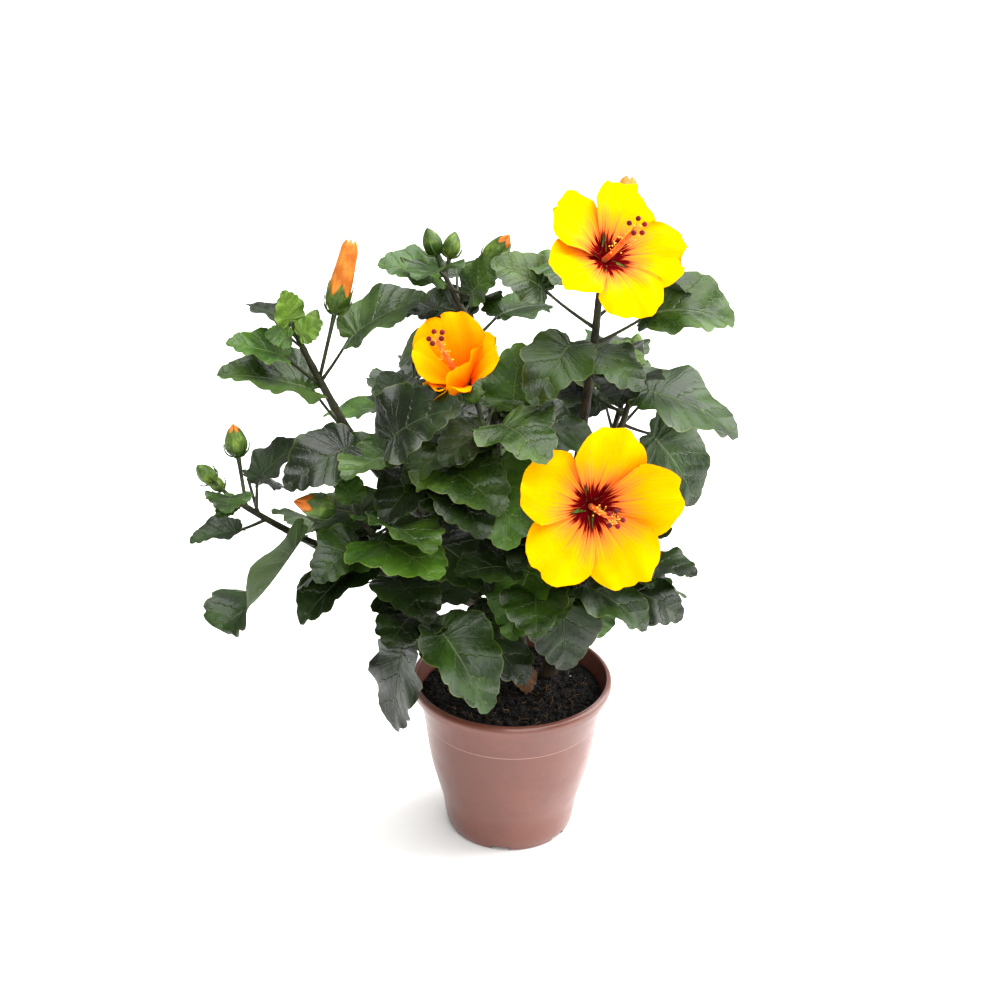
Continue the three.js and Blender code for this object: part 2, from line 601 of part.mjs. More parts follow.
for (const [name, { foot, tip, bow, radii, flare }] of Object.entries(STEMS)) {
  const path = limbPath(vec(...foot).add(vec(0, 0, -3)), vec(...tip), bow);
  const body = standLimb(name, path, radii, { flare, sides: 10, steps: 8 });
  stand(name, body.trimByPlane([0, 0, 1], SOIL.level + GAP), FINISH.bark);
}
for (const [name, { on, at, tip, bow, radii }] of Object.entries(BOUGHS)) {
  const path = limbPath(paths.get(on).getPointAt(at), vec(...tip), bow);
  stand(name, standLimb(name, path, radii), FINISH.bark);
}
const shoots = new Map();
for (const [name, { bough, tip, bow, radii }] of Object.entries(MASSES)) {
  const path = limbPath(vec(...BOUGHS[bough].tip), vec(...tip), bow);
  shoots.set(name, standLimb(name, path, radii, { sides: 5, steps: 5 }));
}
for (const [name, spec] of Object.entries(BLOOMS)) {
  const shoot = paths.get(spec.mass);
  const onward = shoot.getTangentAt(1);
  const foot = shoot.getPointAt(1).addScaledVector(onward, GAP);
  stand(name, bloomSolid(foot, onward, spec), FINISH[spec.finish]);
}
const grown = new Map([...shoots].map(([name, body]) => [name, [body]]));

// Adds to a mass each leaf or bud that keeps clear of every solid outside the mass.
function grow(name, pieces) {
  const outside = [...grown].filter(([owner]) => owner !== name).flatMap(([, bodies]) => bodies);
  const others = [...standing.values(), ...outside];
  grown.get(name).push(...pieces.filter((piece) => clearOf(piece, others)));
}

for (const [name, mass] of Object.entries(MASSES)) {
  const path = paths.get(name);
  grow(name, mass.leaves.map((spec) => leafSolid(path.getPointAt(spec.along), spec)));
  grow(name, mass.buds.map((spec) => budSolid(path.getPointAt(spec.along), spec)));
}
for (const [name, mass] of Object.entries(MASSES)) {
  const path = paths.get(name);
  grow(name, spiralLeaves(mass.spiral).map((spec) => leafSolid(path.getPointAt(spec.along), spec)));
  stand(name, fused(grown.get(name)), FINISH.foliage);
}

export default shrub;
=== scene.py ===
"""The looks of a potted hibiscus shrub in bloom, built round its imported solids.

Sizes are in millimetres, +Z up, with the origin at the centre of the pot's flat underside and the blooms
facing -Y, and become metres when a piece is made. A turn is a compass angle in degrees from +X towards +Y,
and a rise is the angle above the horizontal.
"""

import logging
import math
from collections.abc import Callable, Iterable, Sequence
from dataclasses import dataclass, field
from enum import Enum

import bmesh
import bpy
import numpy as np
from bpy.types import Mesh, Node, NodeSocket as Socket, NodeTree, Object
from mathutils import Matrix, Vector
from mathutils.kdtree import KDTree


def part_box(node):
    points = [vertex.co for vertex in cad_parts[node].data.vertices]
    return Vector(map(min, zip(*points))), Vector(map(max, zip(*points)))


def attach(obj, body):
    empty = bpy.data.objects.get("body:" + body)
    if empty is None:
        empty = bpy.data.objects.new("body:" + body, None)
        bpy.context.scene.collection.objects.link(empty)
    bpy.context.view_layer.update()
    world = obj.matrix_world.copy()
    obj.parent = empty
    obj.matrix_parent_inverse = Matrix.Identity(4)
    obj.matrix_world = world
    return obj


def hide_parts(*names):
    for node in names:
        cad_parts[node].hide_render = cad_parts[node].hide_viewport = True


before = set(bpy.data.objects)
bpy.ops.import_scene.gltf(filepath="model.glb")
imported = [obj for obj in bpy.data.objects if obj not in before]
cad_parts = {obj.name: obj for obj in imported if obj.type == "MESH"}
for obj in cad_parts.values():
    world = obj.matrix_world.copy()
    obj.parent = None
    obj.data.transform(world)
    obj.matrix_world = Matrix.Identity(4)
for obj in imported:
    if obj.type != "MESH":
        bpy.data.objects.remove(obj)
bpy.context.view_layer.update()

LOG = logging.getLogger("hibiscus_shrub")
MM = 0.001
UP = np.array([0.0, 0.0, 1.0])
WORD = 0xFFFFFFFF
WELD_GAP = 1e-6
SOIL_LEVEL = 99.0
COLOUR, NUMBER, VECTOR = "NodeSocketColor", "NodeSocketFloat", "NodeSocketVector"
Point = np.ndarray
Range = tuple[float, float]
Relief = Callable[[float, np.ndarray], np.ndarray]
Tint = tuple[float, float, float, float]


# ---------------- small tools


def tint(code: str) -> Tint:
    """A hex colour as the linear colour that a shader reads.

    Args:
        code: six hex digits.

    Returns:
        Red, green, blue and alpha.
    """
    parts = [int(code[i:i + 2], 16) / 255 for i in (0, 2, 4)]
    linear = [c / 12.92 if c <= 0.04045 else ((c + 0.055) / 1.055) ** 2.4 for c in parts]
    return (*linear, 1.0)


def spaced(values: dict[str, object]) -> dict[str, object]:
    """Values whose names have spaces for their underscores."""
    return {name.replace("_", " "): value for name, value in values.items()}


def bearing(turn: float, rise: float) -> Point:
    """The unit vector with a turn and a rise in degrees."""
    turn, rise = math.radians(turn), math.radians(rise)
    return np.array([math.cos(rise) * math.cos(turn), math.cos(rise) * math.sin(turn), math.sin(rise)])


def unit(vector: Point) -> Point:
    """A vector scaled to length 1."""
    return vector / max(float(np.linalg.norm(vector)), 1e-9)


def turned(vector: Point, axis: Point, degrees: float) -> Point:
    """A vector turned about a unit axis."""
    angle = math.radians(degrees)
    return (vector * math.cos(angle) + np.cross(axis, vector) * math.sin(angle)
            + axis * np.dot(axis, vector) * (1 - math.cos(angle)))


def mix(low: float, high: float, share: float) -> float:
    """The value a share of the way from low to high."""
    return low * (1 - share) + high * share


@dataclass
class Seeded:
    """A repeatable run of numbers from 0 to 1, the same as the one that the solids grow by."""

    state: int
    stride: int = 0x6D2B79F5

    def next(self) -> float:
        """The next number of the run.

        Returns:
            A number from 0 to 1.
        """
        self.state = (self.state + self.stride) & WORD
        state = self.state
        word = ((state ^ (state >> 15)) * (state | 1)) & WORD
        word = ((word + (word ^ (word >> 7)) * (word | 61)) ^ word) & WORD
        return (word ^ (word >> 14)) / (WORD + 1)

    def spread(self, amount: float) -> float:
        """A number between minus and plus an amount."""
        return (self.next() * 2 - 1) * amount

    def between(self, low: float, high: float) -> float:
        """A number from low to high."""
        return mix(low, high, self.next())


class Path:
    """A Bezier curve of two or three spans, read at even shares of its length."""

    DIVISIONS = 200
    STEP = 0.002

    def __init__(self, *controls: Sequence[float]) -> None:
        """Measures the curve.

        Args:
            controls: three or four control points.
        """
        self.controls = np.array(controls, float)
        times = np.linspace(0, 1, self.DIVISIONS + 1)
        points = np.array([self._at(t) for t in times])
        lengths = np.concatenate([[0], np.cumsum(np.linalg.norm(np.diff(points, axis=0), axis=1))])
        self.length = float(lengths[-1])
        self.times, self.shares = times, lengths / max(self.length, 1e-9)

    def _at(self, time: float) -> Point:
        """The point at a raw curve time.

        Args:
            time: the time, from 0 to 1.

        Returns:
            The point.
        """
        points = self.controls
        while len(points) > 1:
            points = points[:-1] * (1 - time) + points[1:] * time
        return points[0]

    def point(self, share: float) -> Point:
        """The point at a share of the curve's length."""
        return self._at(float(np.interp(share, self.shares, self.times)))

    def tangent(self, share: float) -> Point:
        """The unit direction of the curve at a share of its length."""
        low, high = max(share - self.STEP, 0.0), min(share + self.STEP, 1.0)
        return unit(self.point(high) - self.point(low))


def limb_path(foot: Sequence[float], tip: Sequence[float], bow: float) -> Path:
    """The curve of a limb, whose middle is drawn down by its bow.

    Args:
        foot: where the limb starts.
        tip: where it ends.
        bow: how far its middle control point hangs below the straight line.

    Returns:
        The path.
    """
    foot, tip = np.array(foot, float), np.array(tip, float)
    return Path(foot, (foot + tip) / 2 - UP * bow, tip)


class MeshStock:
    """The points, faces, UVs and finishes of one piece while it is gathered, in millimetres."""

    def __init__(self) -> None:
        """Starts an empty stock."""
        self.points: list[np.ndarray] = []
        self.faces: list[np.ndarray] = []
        self.uvs: list[np.ndarray] = []
        self.finishes: list[np.ndarray] = []
        self.count = 0

    def add(self, points: np.ndarray, faces: np.ndarray, uvs: np.ndarray, finish: int = 0) -> None:
        """Adds faces with one UV for each of their corners.

        Args:
            points: N by 3.
            faces: M by 3 or M by 4 indices into the points.
            uvs: one pair for each corner of each face.
            finish: the index of the piece's material.
        """
        self.points.append(points)
        self.faces.append(faces + self.count)
        self.uvs.append(uvs.reshape(-1, 2))
        self.finishes.append(np.full(len(faces), finish))
        self.count += len(points)

    def grid(self, points: np.ndarray, uvs: np.ndarray, finish: int = 0, ring: bool = False) -> None:
        """Adds a sheet of rows and columns of points.

        Args:
            points: rows by columns by 3.
            uvs: rows by columns by 2, with one more column where the sheet is a ring.
            finish: the index of the piece's material.
            ring: whether the last column joins the first.
        """
        rows, columns = points.shape[:2]
        across = columns if ring else columns - 1
        i, j = np.meshgrid(np.arange(rows - 1), np.arange(across), indexing="ij")
        i, j = i.ravel(), j.ravel()
        k = (j + 1) % columns
        faces = np.stack([i * columns + j, i * columns + k, (i + 1) * columns + k, (i + 1) * columns + j], 1)
        corners = np.stack([uvs[i, j], uvs[i, j + 1], uvs[i + 1, j + 1], uvs[i + 1, j]], 1)
        self.add(points.reshape(-1, 3), faces, corners, finish)

    def fan(self, ring: np.ndarray, middle: Point, uv: Sequence[float], finish: int = 0,
            flip: bool = False) -> None:
        """Closes a ring of points with triangles to a middle point.

        Args:
            ring: N by 3 points in order.
            middle: the point that closes them.
            uv: one UV for the whole cap.
            finish: the index of the piece's material.
            flip: whether the faces look the other way.
        """
        count = len(ring)
        near, far = np.arange(count), (np.arange(count) + 1) % count
        hub = np.full(count, count)
        faces = np.stack([far, near, hub] if flip else [near, far, hub], 1)
        self.add(np.vstack([ring, middle]), faces, np.tile(np.array(uv, float), (count * 3, 1)), finish)

    def build(self, name: str, finishes: Iterable[object], smooth: float = 180.0) -> Object:
        """Makes the piece's object, at the origin and in metres.

        Args:
            name: the piece's name.
            finishes: its finishes, in the order of their indices.
            smooth: faces that meet at less than this many degrees are shaded smooth.

        Returns:
            The object.
        """
        mesh = bpy.data.meshes.new(name)
        faces = [face for block in self.faces for face in block.tolist()]
        mesh.from_pydata((np.vstack(self.points) * MM).tolist(), [], faces)
        layer = mesh.uv_layers.new(name="UVMap")
        layer.data.foreach_set("uv", np.vstack(self.uvs).astype(np.float32).ravel())
        mesh.polygons.foreach_set("material_index", np.concatenate(self.finishes).astype(np.int32))
        for finish in finishes:
            mesh.materials.append(finish_of(finish))
        weld(mesh)
        mesh.shade_smooth()
        if smooth < 180:
            mesh.set_sharp_from_angle(angle=math.radians(smooth))
        piece = bpy.data.objects.new(name, mesh)
        bpy.context.scene.collection.objects.link(piece)
        return piece


def weld(mesh: Mesh) -> None:
    """Joins points that lie on each other and drops the faces that collapse.

    Args:
        mesh: the mesh, changed in place.
    """
    work = bmesh.new()
    work.from_mesh(mesh)
    bmesh.ops.remove_doubles(work, verts=work.verts, dist=WELD_GAP)
    work.to_mesh(mesh)
    work.free()


def round_angles(count: int) -> np.ndarray:
    """Even angles round a circle, in radians."""
    return np.arange(count) * 2 * math.pi / count


def ring_uv(sides: int, along: float) -> list[tuple[float, float]]:
    """The UVs of a closed ring of points, with U round it."""
    return [(k / sides, along) for k in range(sides + 1)]


def spokes(angles: np.ndarray, reach: np.ndarray, side: Point, face: Point) -> np.ndarray:
    """Steps out from a middle at angles from side to face, each as long as its reach."""
    return np.outer(np.cos(angles) * reach, side) + np.outer(np.sin(angles) * reach, face)


def tube(stock: MeshStock, path: Path, radius: Callable[[float], float], sides: int, steps: int,
         finish: int = 0, relief: Relief | None = None, start: float = 0.0) -> None:
    """Adds a round limb along a path, closed at both ends. Its UV runs round it and, in metres, along it.

    Args:
        stock: where it goes.
        path: its middle line.
        radius: its radius at a share of its length.
        sides: how many sides it has.
        steps: how many lengths it is made in.
        finish: the index of the piece's material.
        relief: how far its skin stands out, from a share of its length and the angles round it.
        start: the share of the path where it begins.
    """
    normal = unit(np.cross(path.tangent(start), bearing(37, 11)))
    angles = round_angles(sides)
    rings, uvs = [], []
    for share in np.linspace(start, 1, steps + 1):
        ahead = path.tangent(share)
        normal = unit(normal - ahead * np.dot(normal, ahead))
        reach = np.full(sides, radius(share)) + (relief(share, angles) if relief else 0)
        rings.append(path.point(share) + spokes(angles, reach, normal, np.cross(ahead, normal)))
        uvs.append(ring_uv(sides, share * path.length * MM))
    rings, uvs = np.array(rings), np.array(uvs)
    stock.grid(rings, uvs, finish, ring=True)
    stock.fan(rings[0], path.point(start), uvs[0, 0], finish, flip=True)
    stock.fan(rings[-1], path.point(1) + path.tangent(1) * radius(1) * 0.5, uvs[-1, 0], finish)


# ---------------- node trees


@dataclass
class NodeSheet:
    """A material's, group's or modifier's node tree, with short calls that add and join its nodes."""

    tree: NodeTree

    def fill(self, node: Node, inputs: dict) -> None:
        """Sets or joins a node's inputs.

        Args:
            node: the node.
            inputs: values, hex colours or sockets, by name or index.
        """
        for key, value in inputs.items():
            if isinstance(value, Socket):
                self.tree.links.new(value, node.inputs[key])
            else:
                node.inputs[key].default_value = tint(value) if isinstance(value, str) else value

    def add(self, kind: str, inputs: dict | None = None, **settings: object) -> Node:
        """Adds a node.

        Args:
            kind: the node's type.
            inputs: values or sockets for its inputs, by name or index.
            settings: its own settings.

        Returns:
            The node.
        """
        node = self.tree.nodes.new(kind)
        for key, value in settings.items():
            setattr(node, key, value)
        self.fill(node, inputs or {})
        return node

    def math(self, operation: str, *values: object, clamp: bool = False) -> Socket:
        """A Math node on values or sockets."""
        inputs = dict(enumerate(values))
        return self.add("ShaderNodeMath", inputs, operation=operation, use_clamp=clamp).outputs[0]

    def times(self, first: object, second: object) -> Socket:
        """The product of two values or sockets."""
        return self.math("MULTIPLY", first, second)

    def minus(self, first: object, second: object) -> Socket:
        """The difference of two values or sockets."""
        return self.math("SUBTRACT", first, second)

    def blend(self, share: object, low: object, high: object, mode: str = "MIX") -> Socket:
        """A colour between two others, by a share."""
        node = self.add("ShaderNodeMix", {0: share, 6: low, 7: high}, data_type="RGBA", blend_type=mode,
                        clamp_factor=True)
        return node.outputs[2]

    def step(self, value: object, low: float, high: float, to_low: float = 0.0, to_high: float = 1.0,
             kind: str = "SMOOTHSTEP") -> Socket:
        """A value carried from one range to another, and held at its ends."""
        inputs = {0: value, 1: low, 2: high, 3: to_low, 4: to_high}
        return self.add("ShaderNodeMapRange", inputs, interpolation_type=kind).outputs[0]

    def random(self, low: object, high: object, seed: object) -> Socket:
        """A random vector between two others, drawn again for each point."""
        inputs = {0: low, 1: high, "Seed": seed}
        return self.add("FunctionNodeRandomValue", inputs, data_type="FLOAT_VECTOR").outputs[0]

    def noise(self, vector: object, scale: object, detail: float = 4.0, rough: float = 0.55) -> Socket:
        """The value of a noise pattern."""
        inputs = {"Vector": vector, "Scale": scale, "Detail": detail, "Roughness": rough}
        return self.add("ShaderNodeTexNoise", inputs).outputs[0]

    def cells(self, vector: object, scale: float = 1.0, feature: str = "F1") -> Socket:
        """The distance in a pattern of cells."""
        return self.add("ShaderNodeTexVoronoi", {"Vector": vector, "Scale": scale}, feature=feature).outputs[0]

    def stretched(self, vector: object, scale: Sequence[float]) -> Socket:
        """Coordinates scaled by a different amount along each axis."""
        return self.add("ShaderNodeMapping", {"Vector": vector, "Scale": tuple(scale)}).outputs[0]

    def parts(self, vector: object) -> Sequence[Socket]:
        """The three numbers of a vector."""
        return self.add("ShaderNodeSeparateXYZ", {0: vector}).outputs

    def bump(self, height: object, strength: float, distance: float, normal: Socket | None = None) -> Socket:
        """The normals of a relief, laid over other normals where there are any."""
        inputs = {"Height": height, "Strength": strength, "Distance": distance}
        return self.add("ShaderNodeBump", inputs | ({} if normal is None else {"Normal": normal})).outputs[0]


class Group(NodeSheet):
    """A shader node group while it is laid out."""

    def __init__(self, name: str, **inputs: object) -> None:
        """Starts the group.

        Args:
            name: its name.
            inputs: each input's default: None for a vector, a number, or a hex colour.
        """
        super().__init__(bpy.data.node_groups.new(name, "ShaderNodeTree"))
        for label, value in spaced(inputs).items():
            kind = VECTOR if value is None else COLOUR if isinstance(value, str) else NUMBER
            socket = self.tree.interface.new_socket(label, in_out="INPUT", socket_type=kind)
            if value is not None:
                socket.default_value = tint(value) if kind == COLOUR else value
        self.at = self.add("NodeGroupInput").outputs

    def finished(self, **results: Socket) -> NodeTree:
        """Joins the group's results.

        Args:
            results: the sockets that it gives out, by name.

        Returns:
            The group's tree.
        """
        for label, socket in results.items():
            kind = COLOUR if socket.type == "RGBA" else NUMBER
            self.tree.interface.new_socket(label, in_out="OUTPUT", socket_type=kind)
        self.add("NodeGroupOutput", results)
        return self.tree


def mottle_group() -> NodeTree:
    """Lays out the group that mottles a surface between two colours, with broad clouds and fine grain.

    Returns:
        Its tree.
    """
    group = Group("mottle", Coordinates=None, Broad_scale=20.0, Fine_scale=300.0, Light="bcbcbc",
                  Dark="7c7c7c")
    at = group.at
    broad = group.noise(at["Coordinates"], at["Broad scale"], 3.0)
    fine = group.noise(at["Coordinates"], at["Fine scale"], 2.0)
    grain = group.step(fine, 0.3, 0.8, -0.18, 0.18)
    share = group.math("ADD", group.step(broad, 0.35, 0.68), grain, clamp=True)
    return group.finished(Colour=group.blend(share, at["Dark"], at["Light"]),
                          Height=group.math("ADD", group.times(broad, 0.6), group.times(fine, 0.4)))


def vein_group() -> NodeTree:
    """Lays out the group that draws a leaf's midrib, side veins and rim from its UV.

    U runs from the leaf's foot to its tip along its rim, and V from its midrib to its rim.

    Returns:
        Its tree.
    """
    group = Group("leaf_veins", UV=None, Side_veins=7.0, Vein_width=0.07, Rim_width=0.035)
    at = group.at
    along, across, _ = group.parts(at["UV"])
    wander = group.times(group.minus(group.noise(at["UV"], 6.0, 1.0), 0.5), 0.35)
    phase = group.math("ADD", group.times(along, at["Side veins"]), wander)
    gap = group.math("ABSOLUTE", group.minus(group.math("FRACT", phase), 0.5))
    width = group.math("MAXIMUM", group.times(at["Vein width"], group.minus(1.1, across)), 0.001)
    side = group.math("SUBTRACT", 1.0, group.math("DIVIDE", gap, width), clamp=True)
    midrib = group.step(across, 0.012, 0.05, 1.0, 0.0)
    vein = group.math("MAXIMUM", midrib, group.times(side, 0.8))
    cells = group.cells(group.stretched(at["UV"], (30.0, 13.0, 1.0)), feature="DISTANCE_TO_EDGE")
    net = group.step(cells, 0.0, 0.12, 1.0, 0.0)
    past_rim = group.minus(across, group.minus(1.0, at["Rim width"]))
    quilt = group.times(group.minus(gap, 0.5), 0.9)
    height = group.minus(group.minus(quilt, group.times(vein, 0.55)), group.times(net, 0.045))
    return group.finished(Vein=vein, Rim=group.math("MULTIPLY", past_rim, 40.0, clamp=True), Height=height)


def flush_group() -> NodeTree:
    """Lays out the group that colours a petal from its claw to its rim, with a streaked eye and a soft blush.

    U runs across the petal and V from its claw to its rim.

    Returns:
        Its tree.
    """
    group = Group("petal_flush", UV=None, Eye_reach=0.3, Blush_reach=0.5, Eye="7c0000", Blush="ff9559",
                  Petal="ffdb00", Rim="ffe700")
    at = group.at
    along = group.parts(at["UV"])[1]
    streaks = group.noise(group.stretched(at["UV"], (26.0, 1.4, 1.0)), 1.0, 2.0, 0.6)
    veins = group.noise(group.stretched(at["UV"], (60.0, 2.2, 1.0)), 1.0, 2.0, 0.6)
    ragged = group.minus(along, group.step(streaks, 0.3, 0.7, -0.12, 0.12, "LINEAR"))
    eye = group.math("MULTIPLY", group.minus(at["Eye reach"], ragged), 20.0, clamp=True)
    far = group.math("DIVIDE", group.minus(ragged, at["Eye reach"]),
                     group.minus(at["Blush reach"], at["Eye reach"]), clamp=True)
    blush = group.minus(1.0, group.math("POWER", far, 0.8))
    outer = group.blend(group.step(along, 0.45, 0.95), at["Petal"], at["Rim"])
    lined = group.blend(group.step(veins, 0.52, 0.75, 0.0, 0.16), outer, at["Blush"])
    return group.finished(Colour=group.blend(eye, group.blend(blush, lined, at["Blush"]), at["Eye"]),
                          Height=group.math("ADD", veins, group.times(streaks, 0.6)))


GROUPS: dict[str, NodeTree] = {}


class Material(NodeSheet):
    """A material while its nodes are laid out round its Principled shader."""

    def __init__(self, name: str, roughness: float, specular: float = 0.25, **sockets: float) -> None:
        """Starts the material.

        Args:
            name: its name.
            roughness: its roughness where nothing varies it.
            specular: its specular level.
            sockets: values for the shader's other sockets, with underscores for spaces.
        """
        self.material = bpy.data.materials.new(name)
        self.material.use_nodes = True
        super().__init__(self.material.node_tree)
        self.tree.nodes.clear()
        self.shader = self.add("ShaderNodeBsdfPrincipled", {"Roughness": roughness, **spaced(sockets),
                                                            "Specular IOR Level": specular})
        self.add("ShaderNodeOutputMaterial", {"Surface": self.shader.outputs[0]})
        coordinates = self.add("ShaderNodeTexCoord").outputs
        self.object, self.uv = coordinates["Object"], coordinates["UV"]

    def group(self, name: str, **inputs: object) -> Sequence[Socket]:
        """Places a shared group, with its inputs named with underscores for spaces, and gives its outputs."""
        return self.add("ShaderNodeGroup", spaced(inputs), node_tree=GROUPS[name]).outputs

    def mottle(self, light: str, dark: str, broad: float, fine: float) -> tuple[Socket, Socket]:
        """Mottles the surface between two colours.

        Args:
            light: the lighter colour, as six hex digits.
            dark: the darker one.
            broad: how fine its clouds are.
            fine: how fine its grain is.

        Returns:
            The colour and the relief.
        """
        found = self.group("mottle", Coordinates=self.object, Broad_scale=broad, Fine_scale=fine,
                           Light=light, Dark=dark)
        return found["Colour"], found["Height"]

    def finished(self, colour: Socket, rough: Socket, relief: Socket) -> bpy.types.Material:
        """Joins the colour, the roughness and the normals to the shader, and gives the material."""
        self.fill(self.shader, {"Base Color": colour, "Roughness": rough, "Normal": relief})
        return self.material


# ---------------- finishes


@dataclass(frozen=True)
class LeafFinish:
    """A leaf green: mottled, veined, pale at its rim, and duller underneath."""

    name: str
    light: str
    dark: str
    vein: str
    rim: str
    under: str
    roughness: float
    vein_share: float = 0.36
    rim_share: float = 0.4
    under_vein_share: float = 0.6
    under_dulling: float = 0.3

    def make(self) -> bpy.types.Material:
        """Makes the material.

        Returns:
            The material.
        """
        made = Material(self.name, self.roughness, 0.4)
        colour, height = made.mottle(self.light, self.dark, 34.0, 420.0)
        veins = made.group("leaf_veins", UV=made.uv)
        colour = made.blend(made.times(veins["Vein"], self.vein_share), colour, self.vein)
        colour = made.blend(made.times(veins["Rim"], self.rim_share), colour, self.rim)
        back = made.add("ShaderNodeNewGeometry").outputs["Backfacing"]
        under = made.blend(made.times(veins["Vein"], self.under_vein_share), self.under, self.vein)
        rough = made.step(height, 0.3, 0.7, self.roughness - 0.07, self.roughness + 0.12)
        rough = made.math("ADD", rough, made.times(back, self.under_dulling))
        relief = made.bump(height, 0.06, 0.0006, made.bump(veins["Height"], 0.75, 0.0016))
        return made.finished(made.blend(back, colour, under), rough, relief)


class Tone(Enum):
    """The greens that are dealt out leaf by leaf, partly the leaves' own tones and partly painted light and
    shade.
    """

    # The dark and mid greens are deepened as painted shade for leaves inside the crown. The grey green is
    # lightened as painted light for the outer, upper leaves.
    DARK = LeafFinish("leaf_dark", "20340a", "0e1804", "506336", "66722f", "3a4a28", 0.32)
    MID = LeafFinish("leaf_mid", "2b460a", "162806", "62773e", "768235", "41562a", 0.33)
    GREY = LeafFinish("leaf_grey", "405a1a", "22370e", "6f8150", "778046", "4a5a34", 0.3)
    FRESH = LeafFinish("leaf_fresh", "476b16", "2a480d", "7f9b44", "8e9a3a", "587434", 0.34)
    YOUNG = LeafFinish("leaf_young", "6a8c2a", "426019", "8fa54e", "a0aa46", "6f8a3a", 0.4)
    DEAD = LeafFinish("leaf_dead", "6b4420", "33200f", "7d5a30", "40290f", "5a3c20", 0.75)


@dataclass(frozen=True)
class BarkFinish:
    """Bark or stalk skin: long streaks, pale lenticels and a fine grain."""

    name: str
    light: str
    dark: str
    speck: str
    roughness: float
    depth: float

    def make(self) -> bpy.types.Material:
        """Makes the material.

        Returns:
            The material.
        """
        made = Material(self.name, self.roughness, 0.35)
        colour, _ = made.mottle(self.light, self.dark, 70.0, 700.0)
        streak = made.noise(made.stretched(made.uv, (14.0, 90.0, 1.0)), 1.0, 3.0)
        speck = made.step(made.cells(made.stretched(made.uv, (9.0, 420.0, 1.0))), 0.08, 0.2, 0.7, 0.0)
        colour = made.blend(made.step(streak, 0.4, 0.7, 0.0, 0.5), colour, self.dark)
        rough = made.step(streak, 0.3, 0.7, self.roughness - 0.1, self.roughness + 0.1)
        height = made.math("ADD", made.times(streak, 0.8), speck)
        return made.finished(made.blend(speck, colour, self.speck), rough, made.bump(height, 0.6, self.depth))


@dataclass(frozen=True)
class PetalFinish:
    """A petal's silk: a streaked dark eye, a blush round it and fine veins out to its rim."""

    name: str
    eye: str
    blush: str
    petal: str
    rim: str
    eye_reach: float
    blush_reach: float
    roughness: float = 0.55

    def make(self) -> bpy.types.Material:
        """Makes the material.

        Returns:
            The material.
        """
        made = Material(self.name, self.roughness, 0.0)
        flush = made.group("petal_flush", UV=made.uv, Eye_reach=self.eye_reach, Blush_reach=self.blush_reach,
                           Eye=self.eye, Blush=self.blush, Petal=self.petal, Rim=self.rim)
        cloud = made.noise(made.object, 60.0, 3.0)
        shade = made.step(cloud, 0.35, 0.7, 0.0, 0.18)
        colour = made.blend(shade, flush["Colour"], self.petal, "MULTIPLY")
        rough = made.step(cloud, 0.3, 0.7, self.roughness - 0.07, self.roughness + 0.07)
        return made.finished(colour, rough, made.bump(flush["Height"], 0.35, 0.0007))


@dataclass(frozen=True)
class FleshFinish:
    """A plain living skin for calyxes, columns, stigma pads, anthers and furled buds, darkened in its pleat
    valleys as painted shade.
    """

    name: str
    light: str
    dark: str
    roughness: float
    # folds: how far the colour darkens towards the dark colour in the pleat valleys, as painted shade in the
    # creases.
    folds: float = 0.0

    def make(self) -> bpy.types.Material:
        """Makes the material.

        Returns:
            The material.
        """
        made = Material(self.name, self.roughness)
        colour, height = made.mottle(self.light, self.dark, 110.0, 900.0)
        pleat = made.noise(made.stretched(made.uv, (22.0, 3.0, 1.0)), 1.0, 3.0, 0.65)
        # Painted shade: the colour darkens in the valleys of the pleat relief.
        colour = made.blend(made.step(pleat, 0.35, 0.7, self.folds, 0.0), colour, self.dark)
        rough = made.step(height, 0.3, 0.7, self.roughness - 0.08, self.roughness + 0.08)
        return made.finished(colour, rough, made.bump(pleat, 0.5, 0.0008))


@dataclass(frozen=True)
class PotFinish:
    """Moulded pot plastic: satin, faintly clouded, dusty at its foot, with a pale band of painted highlight
    along the crease ring.
    """

    name: str = "pot_plastic"
    light: str = "753f30"
    dark: str = "67362a"
    dust: str = "8f7264"
    foot_height: float = 0.012
    # The crease ring's height and half-width, and the pale colour of the painted highlight where its step
    # catches the light.
    ring_height: float = 0.0822
    crease_highlight_half: float = 0.0006
    ring: str = "c49a88"

    def make(self) -> bpy.types.Material:
        """Makes the material.

        Returns:
            The material.
        """
        made = Material(self.name, 0.36, 0.5, Coat_Weight=0.35, Coat_Roughness=0.14)
        colour, grain = made.mottle(self.light, self.dark, 16.0, 260.0)
        height = made.parts(made.object)[2]
        cloud = made.noise(made.object, 45.0, 5.0, 0.65)
        dusty = made.times(made.step(height, 0.0, self.foot_height, 0.35, 0.04), cloud)
        colour = made.blend(dusty, colour, self.dust)
        # Painted highlight: the colour turns pale in a thin band at the crease ring's height.
        off = made.math("ABSOLUTE", made.minus(height, self.ring_height))
        colour = made.blend(made.step(off, self.crease_highlight_half * 0.3, self.crease_highlight_half, 0.55, 0.0), colour,
                            self.ring)
        scuffs = made.noise(made.stretched(made.object, (90.0, 90.0, 900.0)), 1.0, 4.0, 0.6)
        rough = made.math("ADD", made.step(cloud, 0.3, 0.7, 0.33, 0.45),
                          made.step(scuffs, 0.55, 0.8, 0.0, 0.12))
        return made.finished(colour, rough, made.bump(scuffs, 0.05, 0.0002, made.bump(grain, 0.08, 0.0004)))


@dataclass(frozen=True)
class PeatFinish:
    """Damp peat, near black with brown flecks."""

    name: str
    light: str
    dark: str
    roughness: float = 0.8

    def make(self) -> bpy.types.Material:
        """Makes the material.

        Returns:
            The material.
        """
        made = Material(self.name, self.roughness)
        colour, _ = made.mottle(self.light, self.dark, 160.0, 900.0)
        grain = made.noise(made.object, 900.0, 4.0, 0.7)
        rough = made.step(grain, 0.35, 0.7, self.roughness - 0.25, self.roughness + 0.1)
        height = made.math("ADD", made.cells(made.object, 330.0), grain)
        return made.finished(colour, rough, made.bump(height, 0.9, 0.0012))


